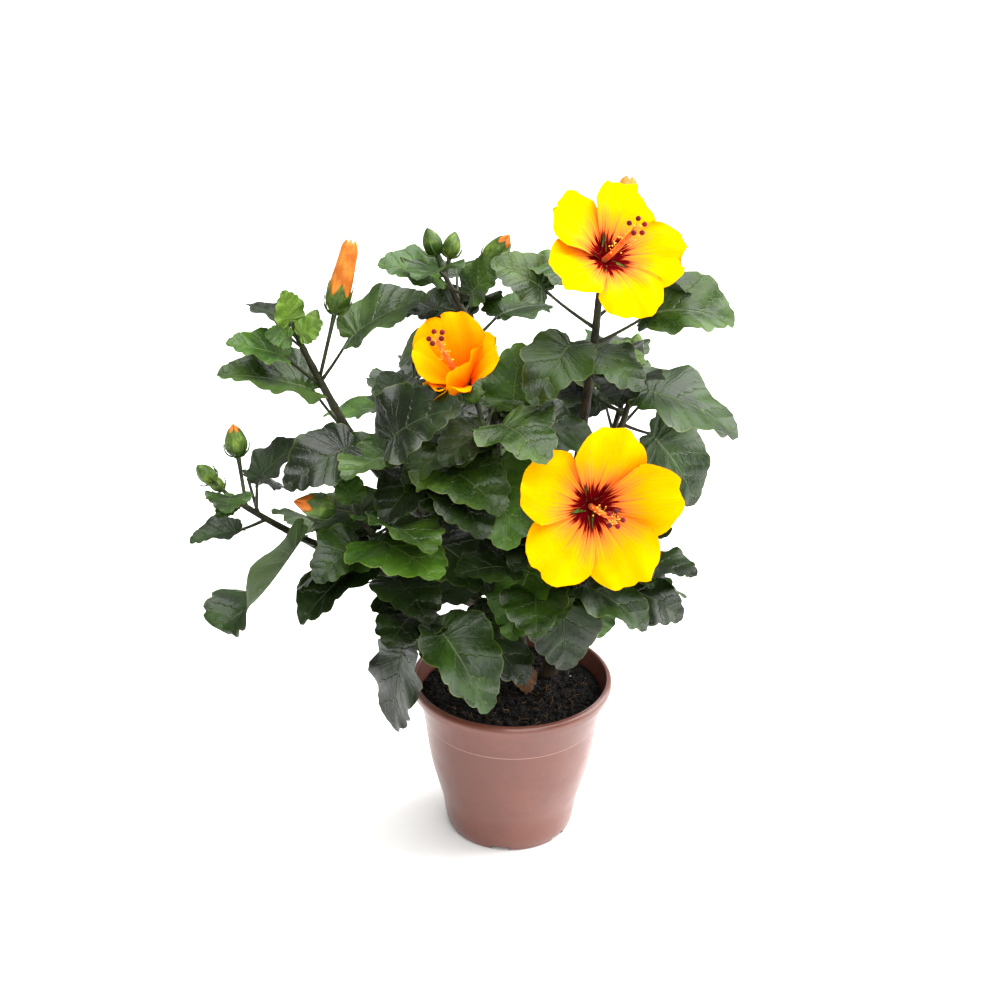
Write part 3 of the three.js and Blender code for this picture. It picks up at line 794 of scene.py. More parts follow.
@dataclass(frozen=True)
class PaperFinish:
    """The studio's pale, matt floor."""

    name: str = "floor_paper"
    light: str = "fbfbfa"
    dark: str = "f6f6f5"
    roughness: float = 0.9

    def make(self) -> bpy.types.Material:
        """Makes the material.

        Returns:
            The material.
        """
        made = Material(self.name, self.roughness, 0.15)
        grain = made.noise(made.object, 120.0, 3.0)
        made.fill(made.shader, {"Base Color": made.blend(grain, self.dark, self.light),
                                "Normal": made.bump(grain, 0.04, 0.0003)})
        return made.material


class Bark(Enum):
    """The skins of limbs, from woody to green."""

    WOODY = BarkFinish("bark_woody", "4a3d29", "1d1810", "6f6046", 0.7, 0.0009)
    GREEN = BarkFinish("bark_green", "403f24", "201f12", "66653c", 0.55, 0.0004)
    STALK = BarkFinish("leaf_stalk", "3e4a28", "272a18", "5a6238", 0.45, 0.0002)


class Petal(Enum):
    """The petal colours."""

    YELLOW = PetalFinish("petal_yellow", "5a030a", "ee6f36", "eea200", "f2b400", 0.335, 0.6)
    ORANGE = PetalFinish("petal_orange", "6a080c", "ee6a0a", "f58c03", "fbaa04", 0.26, 0.58)


class Flesh(Enum):
    """The skins of flower parts."""

    CALYX = FleshFinish("calyx_green", "6c8a30", "2c4614", 0.45, 0.6)
    BUD = FleshFinish("bud_green", "768f38", "2e4615", 0.42, 0.7)
    FURLED = FleshFinish("petal_furled", "e99a3c", "c0661c", 0.55, 0.6)
    COLUMN = FleshFinish("column_orange", "f58a40", "de4f20", 0.5, 0.3)
    POLLEN = FleshFinish("anther_yellow", "ffd23c", "e08a2a", 0.7)
    PAD = FleshFinish("stigma_red", "8e0810", "4a0209", 0.75)
    THREAD = FleshFinish("filament_yellow", "ffc84a", "f08a30", 0.55)


PEAT = PeatFinish("peat_dark", "120d0a", "030202")
CRUMB = PeatFinish("peat_crumb", "1e1510", "050403", 0.5)
FIBRE = PeatFinish("peat_fibre", "8a6c46", "33241a", 0.7)
GRIT = PeatFinish("peat_grit", "f2efe8", "cfc8bb", 0.7)

MADE: dict[str, bpy.types.Material] = {}


def finish_of(finish: object) -> bpy.types.Material:
    """The material of a finish, made the first time it is asked for.

    Args:
        finish: a finish, or an Enum member that holds one.

    Returns:
        The material.
    """
    finish = finish.value if isinstance(finish, Enum) else finish
    if finish.name not in MADE:
        MADE[finish.name] = finish.make()
    return MADE[finish.name]


def place(piece: Object, slot: str, *nodes: str) -> Object:
    """Lets a finished piece ride on the shrub, and stand for its solids.

    Args:
        piece: the piece, in place.
        slot: the name of a material slot; not used.
        nodes: the solids that it stands for.

    Returns:
        The piece.
    """
    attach(piece, "root")
    if nodes:
        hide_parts(*nodes)
    LOG.info("%s: %d faces", piece.name, len(piece.data.polygons))
    return piece


# ---------------- the shrub's plan


@dataclass(frozen=True)
class Leaf:
    """One leaf: where it leaves its shoot, its stalk's turn, lift and length, and its blade's rise and length.

    The blade is turned from its stalk by its twist, rolled about its midrib, bent, folded and lobed. A screw
    rolls it more towards its tip, and a sag lets its middle hang, as a share of its length.
    """

    along: float
    turn: float
    lift: float
    stalk: float
    rise: float
    length: float
    twist: float = 0.0
    roll: float = 0.0
    bend: float = 30.0
    fold: float = 12.0
    lobes: float = 0.0
    tone: Tone | None = None
    screw: float = 0.0
    sag: float = 0.0


@dataclass(frozen=True)
class Bud:
    """One bud: where it leaves its shoot, its stalk's turn, lift and length, its length and bared share."""

    along: float
    turn: float
    lift: float
    stalk: float
    length: float
    bare: float = 0.0


@dataclass(frozen=True)
class Spiral:
    """The leaves that stand round a shoot: how many, where they start, their size and their seed."""

    count: int
    start: float
    size: float
    seed: int


@dataclass(frozen=True)
class LimbSpec:
    """A stem or bough: its tip, its bow, its radii, and where it leaves its stem or the peat."""

    tip: tuple[float, float, float]
    bow: float
    radii: Range
    on: str = ""
    at: float = 0.0
    foot: tuple[float, float, float] | None = None
    flare: float = 0.0


@dataclass(frozen=True)
class MassSpec:
    """One mass of foliage: its shoot, the leaves and buds on the shoot, and how many finer twigs it has.

    The spiral leaves whose numbers are in fallen are left out.
    """

    tip: tuple[float, float, float]
    bow: float
    radii: Range
    spiral: Spiral
    leaves: Sequence[Leaf] = ()
    buds: Sequence[Bud] = ()
    twigs: int = 2
    fallen: tuple[int, ...] = ()


@dataclass(frozen=True)
class BloomSpec:
    """One bloom: its mass, the middle of its mouth, its bearing, its size, how far it opens and its column."""

    mass: str
    centre: tuple[float, float, float]
    turn: float
    rise: float
    radius: float
    open: Range
    width: float
    spin: float
    column: float
    petal: Petal
    shapes: tuple = ()


STEMS = {
    "stem_main": LimbSpec((-3, 14, 178), 0, (5, 4), foot=(10, 12, SOIL_LEVEL), flare=2.4),
    "stem_right": LimbSpec((32, 16, 172), 0, (4.2, 3.5), foot=(25, 21, SOIL_LEVEL), flare=2.0),
}

BOUGHS = {
    "bough_top_centre": LimbSpec((-19, 31, 326), -6, (3.7, 2.4), "stem_main", 1.0),
    "bough_upper_left": LimbSpec((-98, 12, 266), 18, (3.7, 3.2), "stem_main", 0.93),
    "bough_mid_left": LimbSpec((-55, -16, 250), 14, (3, 2.2), "stem_main", 0.86),
    "bough_centre": LimbSpec((-10, -14, 266), 8, (3, 2.3), "stem_main", 0.97),
    "bough_back_left": LimbSpec((-46, 58, 236), 14, (3, 2.2), "stem_main", 0.78),
    "bough_lower_left": LimbSpec((-116, -18, 210), 12, (3.3, 2.7), "stem_main", 0.7),
    "bough_front_left": LimbSpec((-66, -34, 208), 10, (2.7, 2.1), "stem_main", 0.6),
    "bough_low_left": LimbSpec((-40, -34, 162), 6, (2.4, 1.9), "stem_main", 0.42),
    "bough_back_low": LimbSpec((-12, 60, 178), 8, (2.5, 1.9), "stem_main", 0.5),
    "bough_top_right": LimbSpec((46, 1, 340), -4, (3.4, 2.8), "stem_right", 1.0),
    "bough_right": LimbSpec((65, 14, 282), 16, (2.9, 2.1), "stem_right", 0.9),
    "bough_back_right": LimbSpec((60, 62, 246), 14, (2.8, 2.1), "stem_right", 0.8),
    "bough_centre_right": LimbSpec((35, -20, 232), 10, (2.7, 2.1), "stem_right", 0.86),
    "bough_front": LimbSpec((14, -30, 184), 6, (2.4, 1.9), "stem_right", 0.6),
    "bough_lower_right": LimbSpec((54, -8, 184), 8, (2.4, 1.9), "stem_right", 0.5),
}

MASSES = {
    "foliage_upper_left": MassSpec(
        tip=(-134, 12, 341), bow=4, radii=(3.1, 1.7), spiral=Spiral(2, 340, 46, 13), twigs=0,
        leaves=(
            Leaf(0.1, 199, 56, 44, 26, 61, twist=-7, roll=4, bend=24, lobes=1, tone=Tone.GREY),
            Leaf(0.58, 190, 43, 31, 25, 38, twist=-1, roll=10, bend=18, tone=Tone.FRESH),
            Leaf(0.62, 18, 55, 33, 42, 56, twist=-11, fold=20, roll=-8, tone=Tone.GREY),
            Leaf(0.96, 215, 66, 17, 80, 23, twist=11, roll=100, bend=8, tone=Tone.YOUNG),
            Leaf(0.94, 268, 50, 13, 43, 18, twist=84, roll=-60, bend=16, tone=Tone.YOUNG),
            Leaf(0.92, 229, 43, 14, 23, 17, twist=-27, roll=50, bend=16, tone=Tone.FRESH),
        ),
        buds=(Bud(0.64, 5, 77, 45, 46, 0.6), Bud(1, 150, 72, 9, 14), Bud(0.97, 20, 60, 9, 14)),
    ),
    "foliage_lower_left": MassSpec(
        tip=(-176, -36, 258), bow=4, radii=(2.6, 1.6), spiral=Spiral(2, 110, 44, 20), twigs=0,
        leaves=(
            Leaf(0.12, 242, 34, 19, -24, 77, twist=-35, roll=-45, bend=26, screw=120, sag=0.22,
                     tone=Tone.MID),
            Leaf(0.12, 25, 35, 8, 40, 38),
            Leaf(0.7, 75, 82, 21, 47, 41, twist=-51, roll=2),
            Leaf(0.68, 123, 57, 23, -14, 27, twist=-99, bend=24),
            Leaf(0.6, 221, -3, 20, 2, 32, twist=-22, bend=20),
            Leaf(0.86, 263, 35, 13, -21, 16, twist=-48, roll=30, bend=20, tone=Tone.FRESH),
        ),
        buds=(Bud(0.8, 150, 82, 34, 20, 0.04), Bud(1, 200, 52, 13, 15), Bud(0.97, 175, 45, 6, 12)),
    ),
    "foliage_mid_left": MassSpec(
        tip=(-72, -34, 288), bow=3, radii=(2.2, 1.5), spiral=Spiral(6, 30, 60, 71), twigs=3,
        leaves=(
            Leaf(0.9, 255, 44, 28, 49, 53, twist=92, roll=-38, bend=36, lobes=1, tone=Tone.DARK),
            Leaf(0.4, 207, 36, 51, -11, 48, twist=-2, roll=20),
            Leaf(0.7, 85, 57, 28, 44, 38, twist=34, bend=26),
        ),
    ),
    "foliage_front_left": MassSpec(
        tip=(-98, -50, 254), bow=3, radii=(2.1, 1.5), spiral=Spiral(6, 210, 56, 6), twigs=3, fallen=(5,),
        leaves=(
            Leaf(0.5, 266, 30, 20, 10, 60, twist=46, bend=24, fold=4, lobes=1, tone=Tone.FRESH),
            Leaf(0.12, 205, 22, 20, -23, 62, lobes=0.6),
            Leaf(0.05, 255, 0, 18, 2, 46, twist=45, lobes=1, tone=Tone.DARK),
            Leaf(1, 110, 60, 6, 50, 22, tone=Tone.FRESH),
            Leaf(0.96, 300, 20, 6, 20, 18, tone=Tone.FRESH),
        ),
        buds=(Bud(1, 195, 18, 12, 25, 0.22),),
    ),
    "foliage_low_left": MassSpec(
        tip=(-60, -48, 184), bow=2, radii=(1.9, 1.4), spiral=Spiral(4, 310, 54, 31), twigs=3,
        leaves=(
            Leaf(0.6, 281, 23, 35, -32, 61, twist=37, bend=28, lobes=0.3),
            Leaf(0.7, 228, -25, 21, -60, 59, twist=17, roll=-32, bend=34, tone=Tone.DARK),
            Leaf(1, 180, 20, 8, 10, 18),
        ),
        buds=(Bud(1, 215, 30, 8, 12),),
    ),
    "foliage_centre": MassSpec(
        tip=(-20, -28, 303), bow=3, radii=(2.3, 1.6), spiral=Spiral(7, 290, 60, 16), twigs=5,
        leaves=(
            Leaf(0.55, 38, 53, 28, 86, 41, twist=10, roll=-32, bend=14),
            Leaf(0.6, 223, -21, 36, -10, 49, twist=77),
            Leaf(0.3, 207, -1, 47, -9, 44, twist=27),
        ),
    ),
    "foliage_top_centre": MassSpec(
        tip=(-46, 31, 378), bow=3, radii=(2.4, 1.5), spiral=Spiral(4, 180, 50, 50), twigs=1,
        leaves=(
            Leaf(0.8, 203, 45, 11, 27, 40, twist=-14, roll=18, bend=24, tone=Tone.FRESH),
            Leaf(0.15, 119, 50, 16, 18, 39, twist=61, roll=30, bend=28),
            Leaf(0.8, 316, 0, 16, 62, 33, twist=27, roll=-46, bend=24, tone=Tone.GREY),
            Leaf(0.2, 40, 30, 18, 10, 44),
        ),
        buds=(Bud(1, 150, 66, 12, 17), Bud(0.95, 60, 66, 12, 16), Bud(0.6, 350, 58, 32, 24, 0.07)),
    ),
    "foliage_top_right": MassSpec(
        tip=(49, 0, 384), bow=0, radii=(2.7, 2.1), spiral=Spiral(3, 220, 52, 53), twigs=0,
        leaves=(
            Leaf(0.35, 181, 38, 39, 39, 38, twist=-5, roll=32, bend=24, tone=Tone.GREY),
            Leaf(0.12, 10, 27, 33, 25, 59, twist=-8, roll=-26, bend=60, fold=26, tone=Tone.GREY),
            Leaf(0.14, 264, 8, 17, -3, 43, twist=52, bend=34, fold=4, lobes=0.6),
            Leaf(0.1, 13, -8, 13, -13, 23, twist=-19),
        ),
        buds=(Bud(0.65, 70, 50, 60, 24, 0.6),),
    ),
    "foliage_right": MassSpec(
        tip=(74, 15, 316), bow=2, radii=(2.1, 1.5), spiral=Spiral(5, 40, 56, 59), twigs=0, fallen=(2,),
        leaves=(
            Leaf(0.9, 281, 10, 15, -3, 68, twist=68, roll=-5, bend=40, lobes=0.6, tone=Tone.MID),
            Leaf(0.1, 360, -20, 19, -42, 59, roll=-50, bend=34, fold=4, tone=Tone.MID),
            Leaf(0.6, 150, 20, 16, 14, 46),
        ),
    ),
    "foliage_centre_right": MassSpec(
        tip=(38, -40, 258), bow=2, radii=(2.1, 1.9), spiral=Spiral(6, 110, 56, 8), twigs=5,
        leaves=(Leaf(0.3, 330, 0, 18, -18, 46), Leaf(0.5, 200, 10, 18, -8, 48)),
    ),
    "foliage_front": MassSpec(
        tip=(12, -44, 206), bow=2, radii=(1.9, 1.4), spiral=Spiral(5, 0, 54, 1), twigs=4,
        leaves=(
            Leaf(0.9, 260, 65, 17, -50, 49, twist=-28),
            Leaf(0.4, 322, 24, 21, -58, 52, twist=-33),
        ),
    ),
    "foliage_lower_right": MassSpec(
        tip=(70, -12, 204), bow=2, radii=(1.9, 1.4), spiral=Spiral(4, 30, 52, 63), twigs=3,
        leaves=(
            Leaf(0.4, 276, -11, 11, -5, 50, twist=72, roll=-28, bend=34, fold=4),
            Leaf(1, 6, -9, 19, -3, 26, twist=-11, bend=40),
            Leaf(0.1, 261, -4, 22, -67, 26, twist=42, bend=24),
        ),
    ),
    "foliage_back_left": MassSpec(
        tip=(-66, 78, 286), bow=4, radii=(2.2, 1.4), spiral=Spiral(8, 100, 60, 69), twigs=6,
        buds=(Bud(1, 100, 70, 10, 15),),
    ),
    "foliage_back_right": MassSpec(
        tip=(74, 80, 292), bow=4, radii=(2.1, 1.4), spiral=Spiral(8, 310, 60, 7), twigs=6,
        buds=(Bud(1, 60, 70, 10, 15),),
    ),
    "foliage_back_low": MassSpec(
        tip=(-16, 86, 214), bow=3, radii=(1.9, 1.3), spiral=Spiral(7, 60, 56, 42), twigs=7,
    ),
}

BLOOMS = {
    "bloom_top": BloomSpec("foliage_top_right", (56, -22, 416), 300, 44, 45, (36, 100), 0.405, -20, 46,
                           Petal.YELLOW),
    "bloom_front": BloomSpec("foliage_centre_right", (50, -72, 269), 285, 18, 52, (36, 100), 0.395, 3, 50,
                             Petal.YELLOW),
    "bloom_middle": BloomSpec("foliage_centre", (-44, -46, 361), 225, 57, 27.5, (6, 62), 0.36, -16, 49,
                              Petal.ORANGE, ((-36, 1.25, 0.66), (24, 0.85, 0.9), (-16, 1.2, 1.08),
                                             (-18, 0.85, 0.92), (4, 1.0, 0.66))),
}


def bough_of(mass: str) -> str:
    """The bough that carries a mass."""
    return mass.replace("foliage_", "bough_")


@dataclass
class Plan:
    """The middle lines of every limb, and the boxes and corners of the solids that they carry."""

    sunk: float = 3.0
    paths: dict[str, Path] = field(default_factory=dict)

    def __post_init__(self) -> None:
        """Lays out the stems, the boughs and the shoots in order."""
        for name, spec in STEMS.items():
            self.paths[name] = limb_path(np.array(spec.foot) - UP * self.sunk, spec.tip, spec.bow)
        for name, spec in BOUGHS.items():
            self.paths[name] = limb_path(self.paths[spec.on].point(spec.at), spec.tip, spec.bow)
        for name, spec in MASSES.items():
            self.paths[name] = limb_path(BOUGHS[bough_of(name)].tip, spec.tip, spec.bow)

    @staticmethod
    def corners(node: str) -> KDTree:
        """The corners of a solid, in millimetres, to look up the nearest.

        Args:
            node: the solid's name.

        Returns:
            The tree of its corners.
        """
        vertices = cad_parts[node].data.vertices
        tree = KDTree(len(vertices))
        for i, vertex in enumerate(vertices):
            tree.insert(vertex.co / MM, i)
        tree.balance()
        return tree


# ---------------- leaves


def smooth_line(controls: Sequence[Sequence[float]], count: int, fineness: int = 12) -> np.ndarray:
    """A smooth line through control points, in even steps.

    Args:
        controls: the points.
        count: how many steps to cut it in.
        fineness: how many points to measure each span by.

    Returns:
        count + 1 points.
    """
    knots = np.array(controls, float)
    knots = np.vstack([2 * knots[0] - knots[1], knots, 2 * knots[-1] - knots[-2]])
    fine = []
    for i in range(1, len(knots) - 2):
        a, b, c, d = knots[i - 1:i + 3]
        for t in np.linspace(0, 1, fineness, endpoint=False):
            fine.append(0.5 * (2 * b + (c - a) * t + (2 * a - 5 * b + 4 * c - d) * t * t
                               + (3 * b - a - 3 * c + d) * t ** 3))
    fine = np.array([*fine, knots[-2]])
    lengths = np.concatenate([[0], np.cumsum(np.linalg.norm(np.diff(fine, axis=0), axis=1))])
    at = np.linspace(0, lengths[-1], count + 1)
    return np.stack([np.interp(at, lengths, fine[:, k]) for k in range(fine.shape[1])], 1)


@dataclass
class LeafShape:
    """One leaf: a toothed blade folded along its midrib, on a stalk.

    The outlines run from the leaf's foot to its tip, along the midrib and out from it, in shares of its
    length. The teeth, the fold, the waves and the quilting between the veins are shares of it as well.
    """

    spec: Leaf
    start: Point
    plain: Sequence = ((0, 0), (-0.06, 0.12), (-0.03, 0.27), (0.1, 0.39), (0.28, 0.445), (0.47, 0.43),
                       (0.65, 0.35), (0.81, 0.22), (0.93, 0.1), (1, 0))
    lobed: Sequence = ((0, 0), (-0.07, 0.14), (-0.03, 0.31), (0.1, 0.45), (0.35, 0.54), (0.46, 0.41),
                       (0.57, 0.33), (0.73, 0.29), (0.9, 0.13), (1, 0))
    teeth: int = 8
    tooth: Sequence = (0.0, 0.8, 1.0, 0.85)
    tooth_depth: float = 0.036
    across: Sequence = (0.0, 0.3, 0.62, 0.88, 1.0)
    sweep: float = 0.75
    half: float = 0.43
    fold_share: Range = (0.6, 1.5)
    wave: float = 0.05
    wave_cycles: Range = (1.6, 2.6)
    curl: float = 0.05
    quilt: float = 0.013
    stalk_radii: Range = (1.2, 0.85)
    tones: Sequence = ((0.42, Tone.DARK), (0.74, Tone.MID), (0.9, Tone.GREY), (1.0, Tone.FRESH))
    young_length: float = 25.0
    young_share: float = 0.45

    def __post_init__(self) -> None:
        """Works out where the blade starts, which way it goes and where its tip is."""
        spec = self.spec
        self.foot = self.start + bearing(spec.turn, spec.lift) * spec.stalk
        self.ahead = bearing(spec.turn + spec.twist, 0)
        self.bend, self.rise = math.radians(max(spec.bend, 1)), math.radians(spec.rise)
        self.tip = self.foot + self.spine(np.ones(()))

    def spine(self, x: np.ndarray) -> np.ndarray:
        """How far the midrib has gone from the leaf's foot.

        Args:
            x: shares of its length.

        Returns:
            A step for each.
        """
        pitch, reach = self.rise - self.bend * x, self.spec.length / self.bend
        return ((reach * (math.sin(self.rise) - np.sin(pitch)))[..., None] * self.ahead
                + (reach * (np.cos(pitch) - math.cos(self.rise)))[..., None] * UP)

    def outline(self) -> np.ndarray:
        """Half of the leaf's toothed outline.

        Returns:
            Points along and out from the midrib.
        """
        controls = np.array(self.plain) * (1 - self.spec.lobes) + np.array(self.lobed) * self.spec.lobes
        line = smooth_line(controls, self.teeth * len(self.tooth))
        ahead = np.gradient(line, axis=0)
        ahead /= np.linalg.norm(ahead, axis=1)[:, None]
        outward = np.stack([-ahead[:, 1], ahead[:, 0]], 1)
        shares = np.linspace(0, 1, len(line))
        depth = self.tooth_depth * np.minimum(1, np.minimum(shares * 9, (1 - shares) * 12))
        return line + outward * (np.resize(self.tooth, len(line)) * depth)[:, None]

    def laid(self, x: np.ndarray, y: np.ndarray, chance: Seeded, shares: np.ndarray) -> np.ndarray:
        """Lays half of the flat blade into its place: bent, folded, rolled and waved.

        Args:
            x: shares of the leaf's length along its midrib.
            y: shares of its length out from the midrib, signed by side.
            chance: its run of numbers.
            shares: how far along the rim each row is.

        Returns:
            The points.
        """
        spec, ahead = self.spec, self.ahead
        pitch = (self.rise - self.bend * x)[..., None]
        level = np.cos(pitch) * UP - np.sin(pitch) * ahead
        across = np.array([ahead[1], -ahead[0], 0])
        roll = np.radians(spec.roll + spec.screw * x ** 3)[..., None]
        face = level * np.cos(roll) - across * np.sin(roll)
        side = across * np.cos(roll) + level * np.sin(roll)
        fold = math.radians(spec.fold) * chance.between(*self.fold_share)
        edge = (np.abs(y) / self.half) ** 1.5
        cycles = chance.between(*self.wave_cycles)
        phase = chance.next() + 0.2 * np.sign(y)
        lift = self.wave * edge * np.sin(2 * math.pi * (cycles * x + phase))
        lift = lift - self.curl * (y / self.half) ** 2 * (0.4 + x)
        veins = np.cos(2 * math.pi * self.teeth * shares)[:, None]
        lift = lift + self.quilt * veins * np.minimum(1, np.abs(y) * 8) * (1 - edge.clip(0, 1) * 0.5)
        lift = lift + np.abs(y) * math.sin(fold) * 1.25
        hang = spec.sag * np.sin(math.pi * x.clip(0, 1))
        return self.foot + self.spine(x) + spec.length * (
            side * (y * math.cos(fold))[..., None] + face * lift[..., None] - UP * hang[..., None])

    def tone_of(self, chance: Seeded) -> int:
        """The leaf's green.

        Args:
            chance: its run of numbers.

        Returns:
            Its place among the tones.
        """
        draw = chance.next()
        tone = self.spec.tone or next(tone for limit, tone in self.tones if draw <= limit)
        if self.spec.tone is None and self.spec.length < self.young_length:
            tone = Tone.YOUNG if draw < self.young_share else Tone.FRESH
        return list(Tone).index(tone)

    def blade(self, stock: MeshStock, chance: Seeded) -> None:
        """Adds the blade.

        Args:
            stock: where it goes.
            chance: its run of numbers.
        """
        tone = self.tone_of(chance)
        line = self.outline()
        shares = np.linspace(0, 1, len(line))
        feet = np.maximum.accumulate(np.maximum(line[:, 0] - self.sweep * line[:, 1], 0.3 * shares))
        feet[0], feet[-1] = 0, 1
        across = np.array(self.across)
        x = feet[:, None] + (line[:, 0] - feet)[:, None] * across
        y = line[:, 1][:, None] * across
        start = chance.state
        uvs = np.stack(np.broadcast_arrays(shares[:, None], across[None, :]), -1)
        for hand in (1, -1):
            chance.state = start
            points = self.laid(x, y * hand, chance, shares)
            order = slice(None, None, hand)
            stock.grid(points[:, order], uvs[:, order], tone)

    def build(self, blades: MeshStock, twigs: MeshStock, chance: Seeded) -> None:
        """Adds the leaf with its stalk, which sags a little.

        Args:
            blades: where its blade goes.
            twigs: where its stalk goes.
            chance: its run of numbers.
        """
        sag = UP * 0.05 * float(np.linalg.norm(self.foot - self.start))
        stalk = Path(self.start, (self.start + self.foot) / 2 - sag, self.foot)
        tube(twigs, stalk, lambda share: mix(*self.stalk_radii, share) + 0.35 * math.exp(-share * 12)
             + 0.25 * math.exp((share - 1) * 14), 6, 6, 1)
        self.blade(blades, chance)


# ---------------- buds


@dataclass
class BudShape:
    """One bud: furled petals in a five-pointed calyx, with thin bracts under it, on a stalk."""

    spec: Bud
    start: Point
    chance: Seeded
    girth: float = 0.3
    most_radius: float = 6.8
    stalk_radius: float = 1.2
    bracts: int = 7
    bract_reach: float = 17.0
    closed_cover: float = 0.97
    open_cover: float = 0.5
    open_bare: float = 0.6
    petals: int = 5
    sides: int = 30
    calyx_rows: int = 9
    petal_rows: int = 18

    def __post_init__(self) -> None:
        """Works out where the bud stands and how wide it is."""
        spec = self.spec
        self.ahead, self.side = bearing(spec.turn, spec.lift), bearing(spec.turn - 90, 0)
        self.face = np.cross(self.side, self.ahead)
        self.foot = self.start + self.ahead * spec.stalk
        self.most = min(self.girth * spec.length, self.most_radius)
        self.angles = round_angles(self.sides)

    def profile(self, share: float) -> float:
        """The radius at a share of the bud's length.

        Args:
            share: how far up the bud.

        Returns:
            The radius.
        """
        if self.spec.bare < 0.5:
            return self.most * max(math.sin(math.pi * share ** 0.75), 0) ** 0.7
        swell = min(1.0, (share / 0.2) ** 0.5) if share > 0 else 0.0
        tip = math.sqrt(max(0.0, 1 - max(0, share - 0.93) * 9))
        return self.most * swell * (1 - 0.45 * max(0, share - 0.3)) * tip

    def skin(self, stock: MeshStock, rows: Sequence[tuple[np.ndarray, np.ndarray, float]]) -> np.ndarray:
        """Adds a skin round the bud's axis.

        Args:
            stock: where it goes.
            rows: shares of the bud's length, distances out from its axis, and a V, for each row.

        Returns:
            Its rows of points.
        """
        points = np.array([self.foot + np.outer(along * self.spec.length, self.ahead)
                           + spokes(self.angles, reach, self.side, self.face) for along, reach, _ in rows])
        uvs = np.array([ring_uv(self.sides, share) for _, _, share in rows])
        stock.grid(points[:, ::-1], uvs[:, ::-1], 0, ring=True)
        return points

    def calyx(self, stock: MeshStock) -> None:
        """Adds the calyx, which closes over the bud or stands in five points round its petals.

        Args:
            stock: where it goes.
        """
        closed = self.spec.bare == 0
        bared = min(1.0, self.spec.bare / self.open_bare)
        cover, depth = mix(self.closed_cover, self.open_cover, bared), mix(0.12, 0.42, bared)
        point = np.abs((self.angles * self.petals / (2 * math.pi)) % 1 - 0.5) * 2
        top = 0.86 + 0.14 * point if closed else cover * (1 - depth + depth * point ** 1.3)
        ribs = 1.14 - 0.1 * np.abs(np.sin(self.angles * self.petals / 2)) ** 3
        rows = []
        for share in np.linspace(0.0, 1, self.calyx_rows):
            reach = np.array([self.profile(max(value, 0.02)) for value in top * share])
            reach = np.maximum(reach, self.stalk_radius * (1 - share)) * ribs
            rows.append((top * share, reach + 0.35 + (0 if closed else 0.5 * share ** 6), share))
        points = self.skin(stock, rows)
        if closed:
            stock.fan(points[-1], self.foot + self.ahead * self.spec.length * 1.02, (0.5, 1), 0, flip=True)
        stock.fan(points[0], self.foot, (0.5, 0), 0)

    def furled(self, stock: MeshStock) -> None:
        """Adds the furled petals, pleated and wound round each other.

        Args:
            stock: where they go.
        """
        rows = []
        for share in np.linspace(0.05, 1, self.petal_rows):
            wound = self.petals * self.angles + share * 4.5
            folds = 0.1 * np.abs(np.sin(wound / 2)) + 0.035 * np.sin(13 * self.angles + 9 * share)
            reach = max(self.profile(share), 0.3 if share < 1 else 0.15) * (1 + folds * min(1, share * 3))
            rows.append((share + (0.02 + 0.035 * share ** 8) * np.sin(wound) * share, reach, share))
        points = self.skin(stock, rows)
        stock.fan(points[-1], self.foot + self.ahead * self.spec.length * 0.99, (0.5, 1), 0, flip=True)

    def bract_ring(self, stock: MeshStock) -> None:
        """Adds the thin bracts that curl out under the calyx.

        Args:
            stock: where they go.
        """
        chance, reach = self.chance, min(0.5 * self.spec.length, self.bract_reach)
        for i in range(self.bracts):
            angle = 2 * math.pi * (i + chance.spread(0.2)) / self.bracts
            out = self.side * math.cos(angle) + self.face * math.sin(angle)
            tip = self.foot + out * (self.most + chance.between(1.2, 3.2)) + self.ahead * (
                reach * chance.between(0.7, 1.0))
            path = Path(self.foot, self.foot + out * (self.most + 2.2) - self.ahead * 0.5, tip)
            tube(stock, path, lambda share: 0.8 * (1 - share) ** 0.7 + 0.15, 4, 6)

    def build(self, green: MeshStock, furled: MeshStock, twigs: MeshStock) -> None:
        """Adds the bud.

        Args:
            green: where its calyx and bracts go.
            furled: where its petals go.
            twigs: where its stalk goes.
        """
        stalk = Path(self.start, (self.start + self.foot) / 2, self.foot)
        tube(twigs, stalk, lambda share: self.stalk_radius + 0.5 * share ** 6, 6, 5, 1)
        if self.spec.bare > 0:
            self.furled(furled)
        self.calyx(green)
        self.bract_ring(green)


# ---------------- limbs


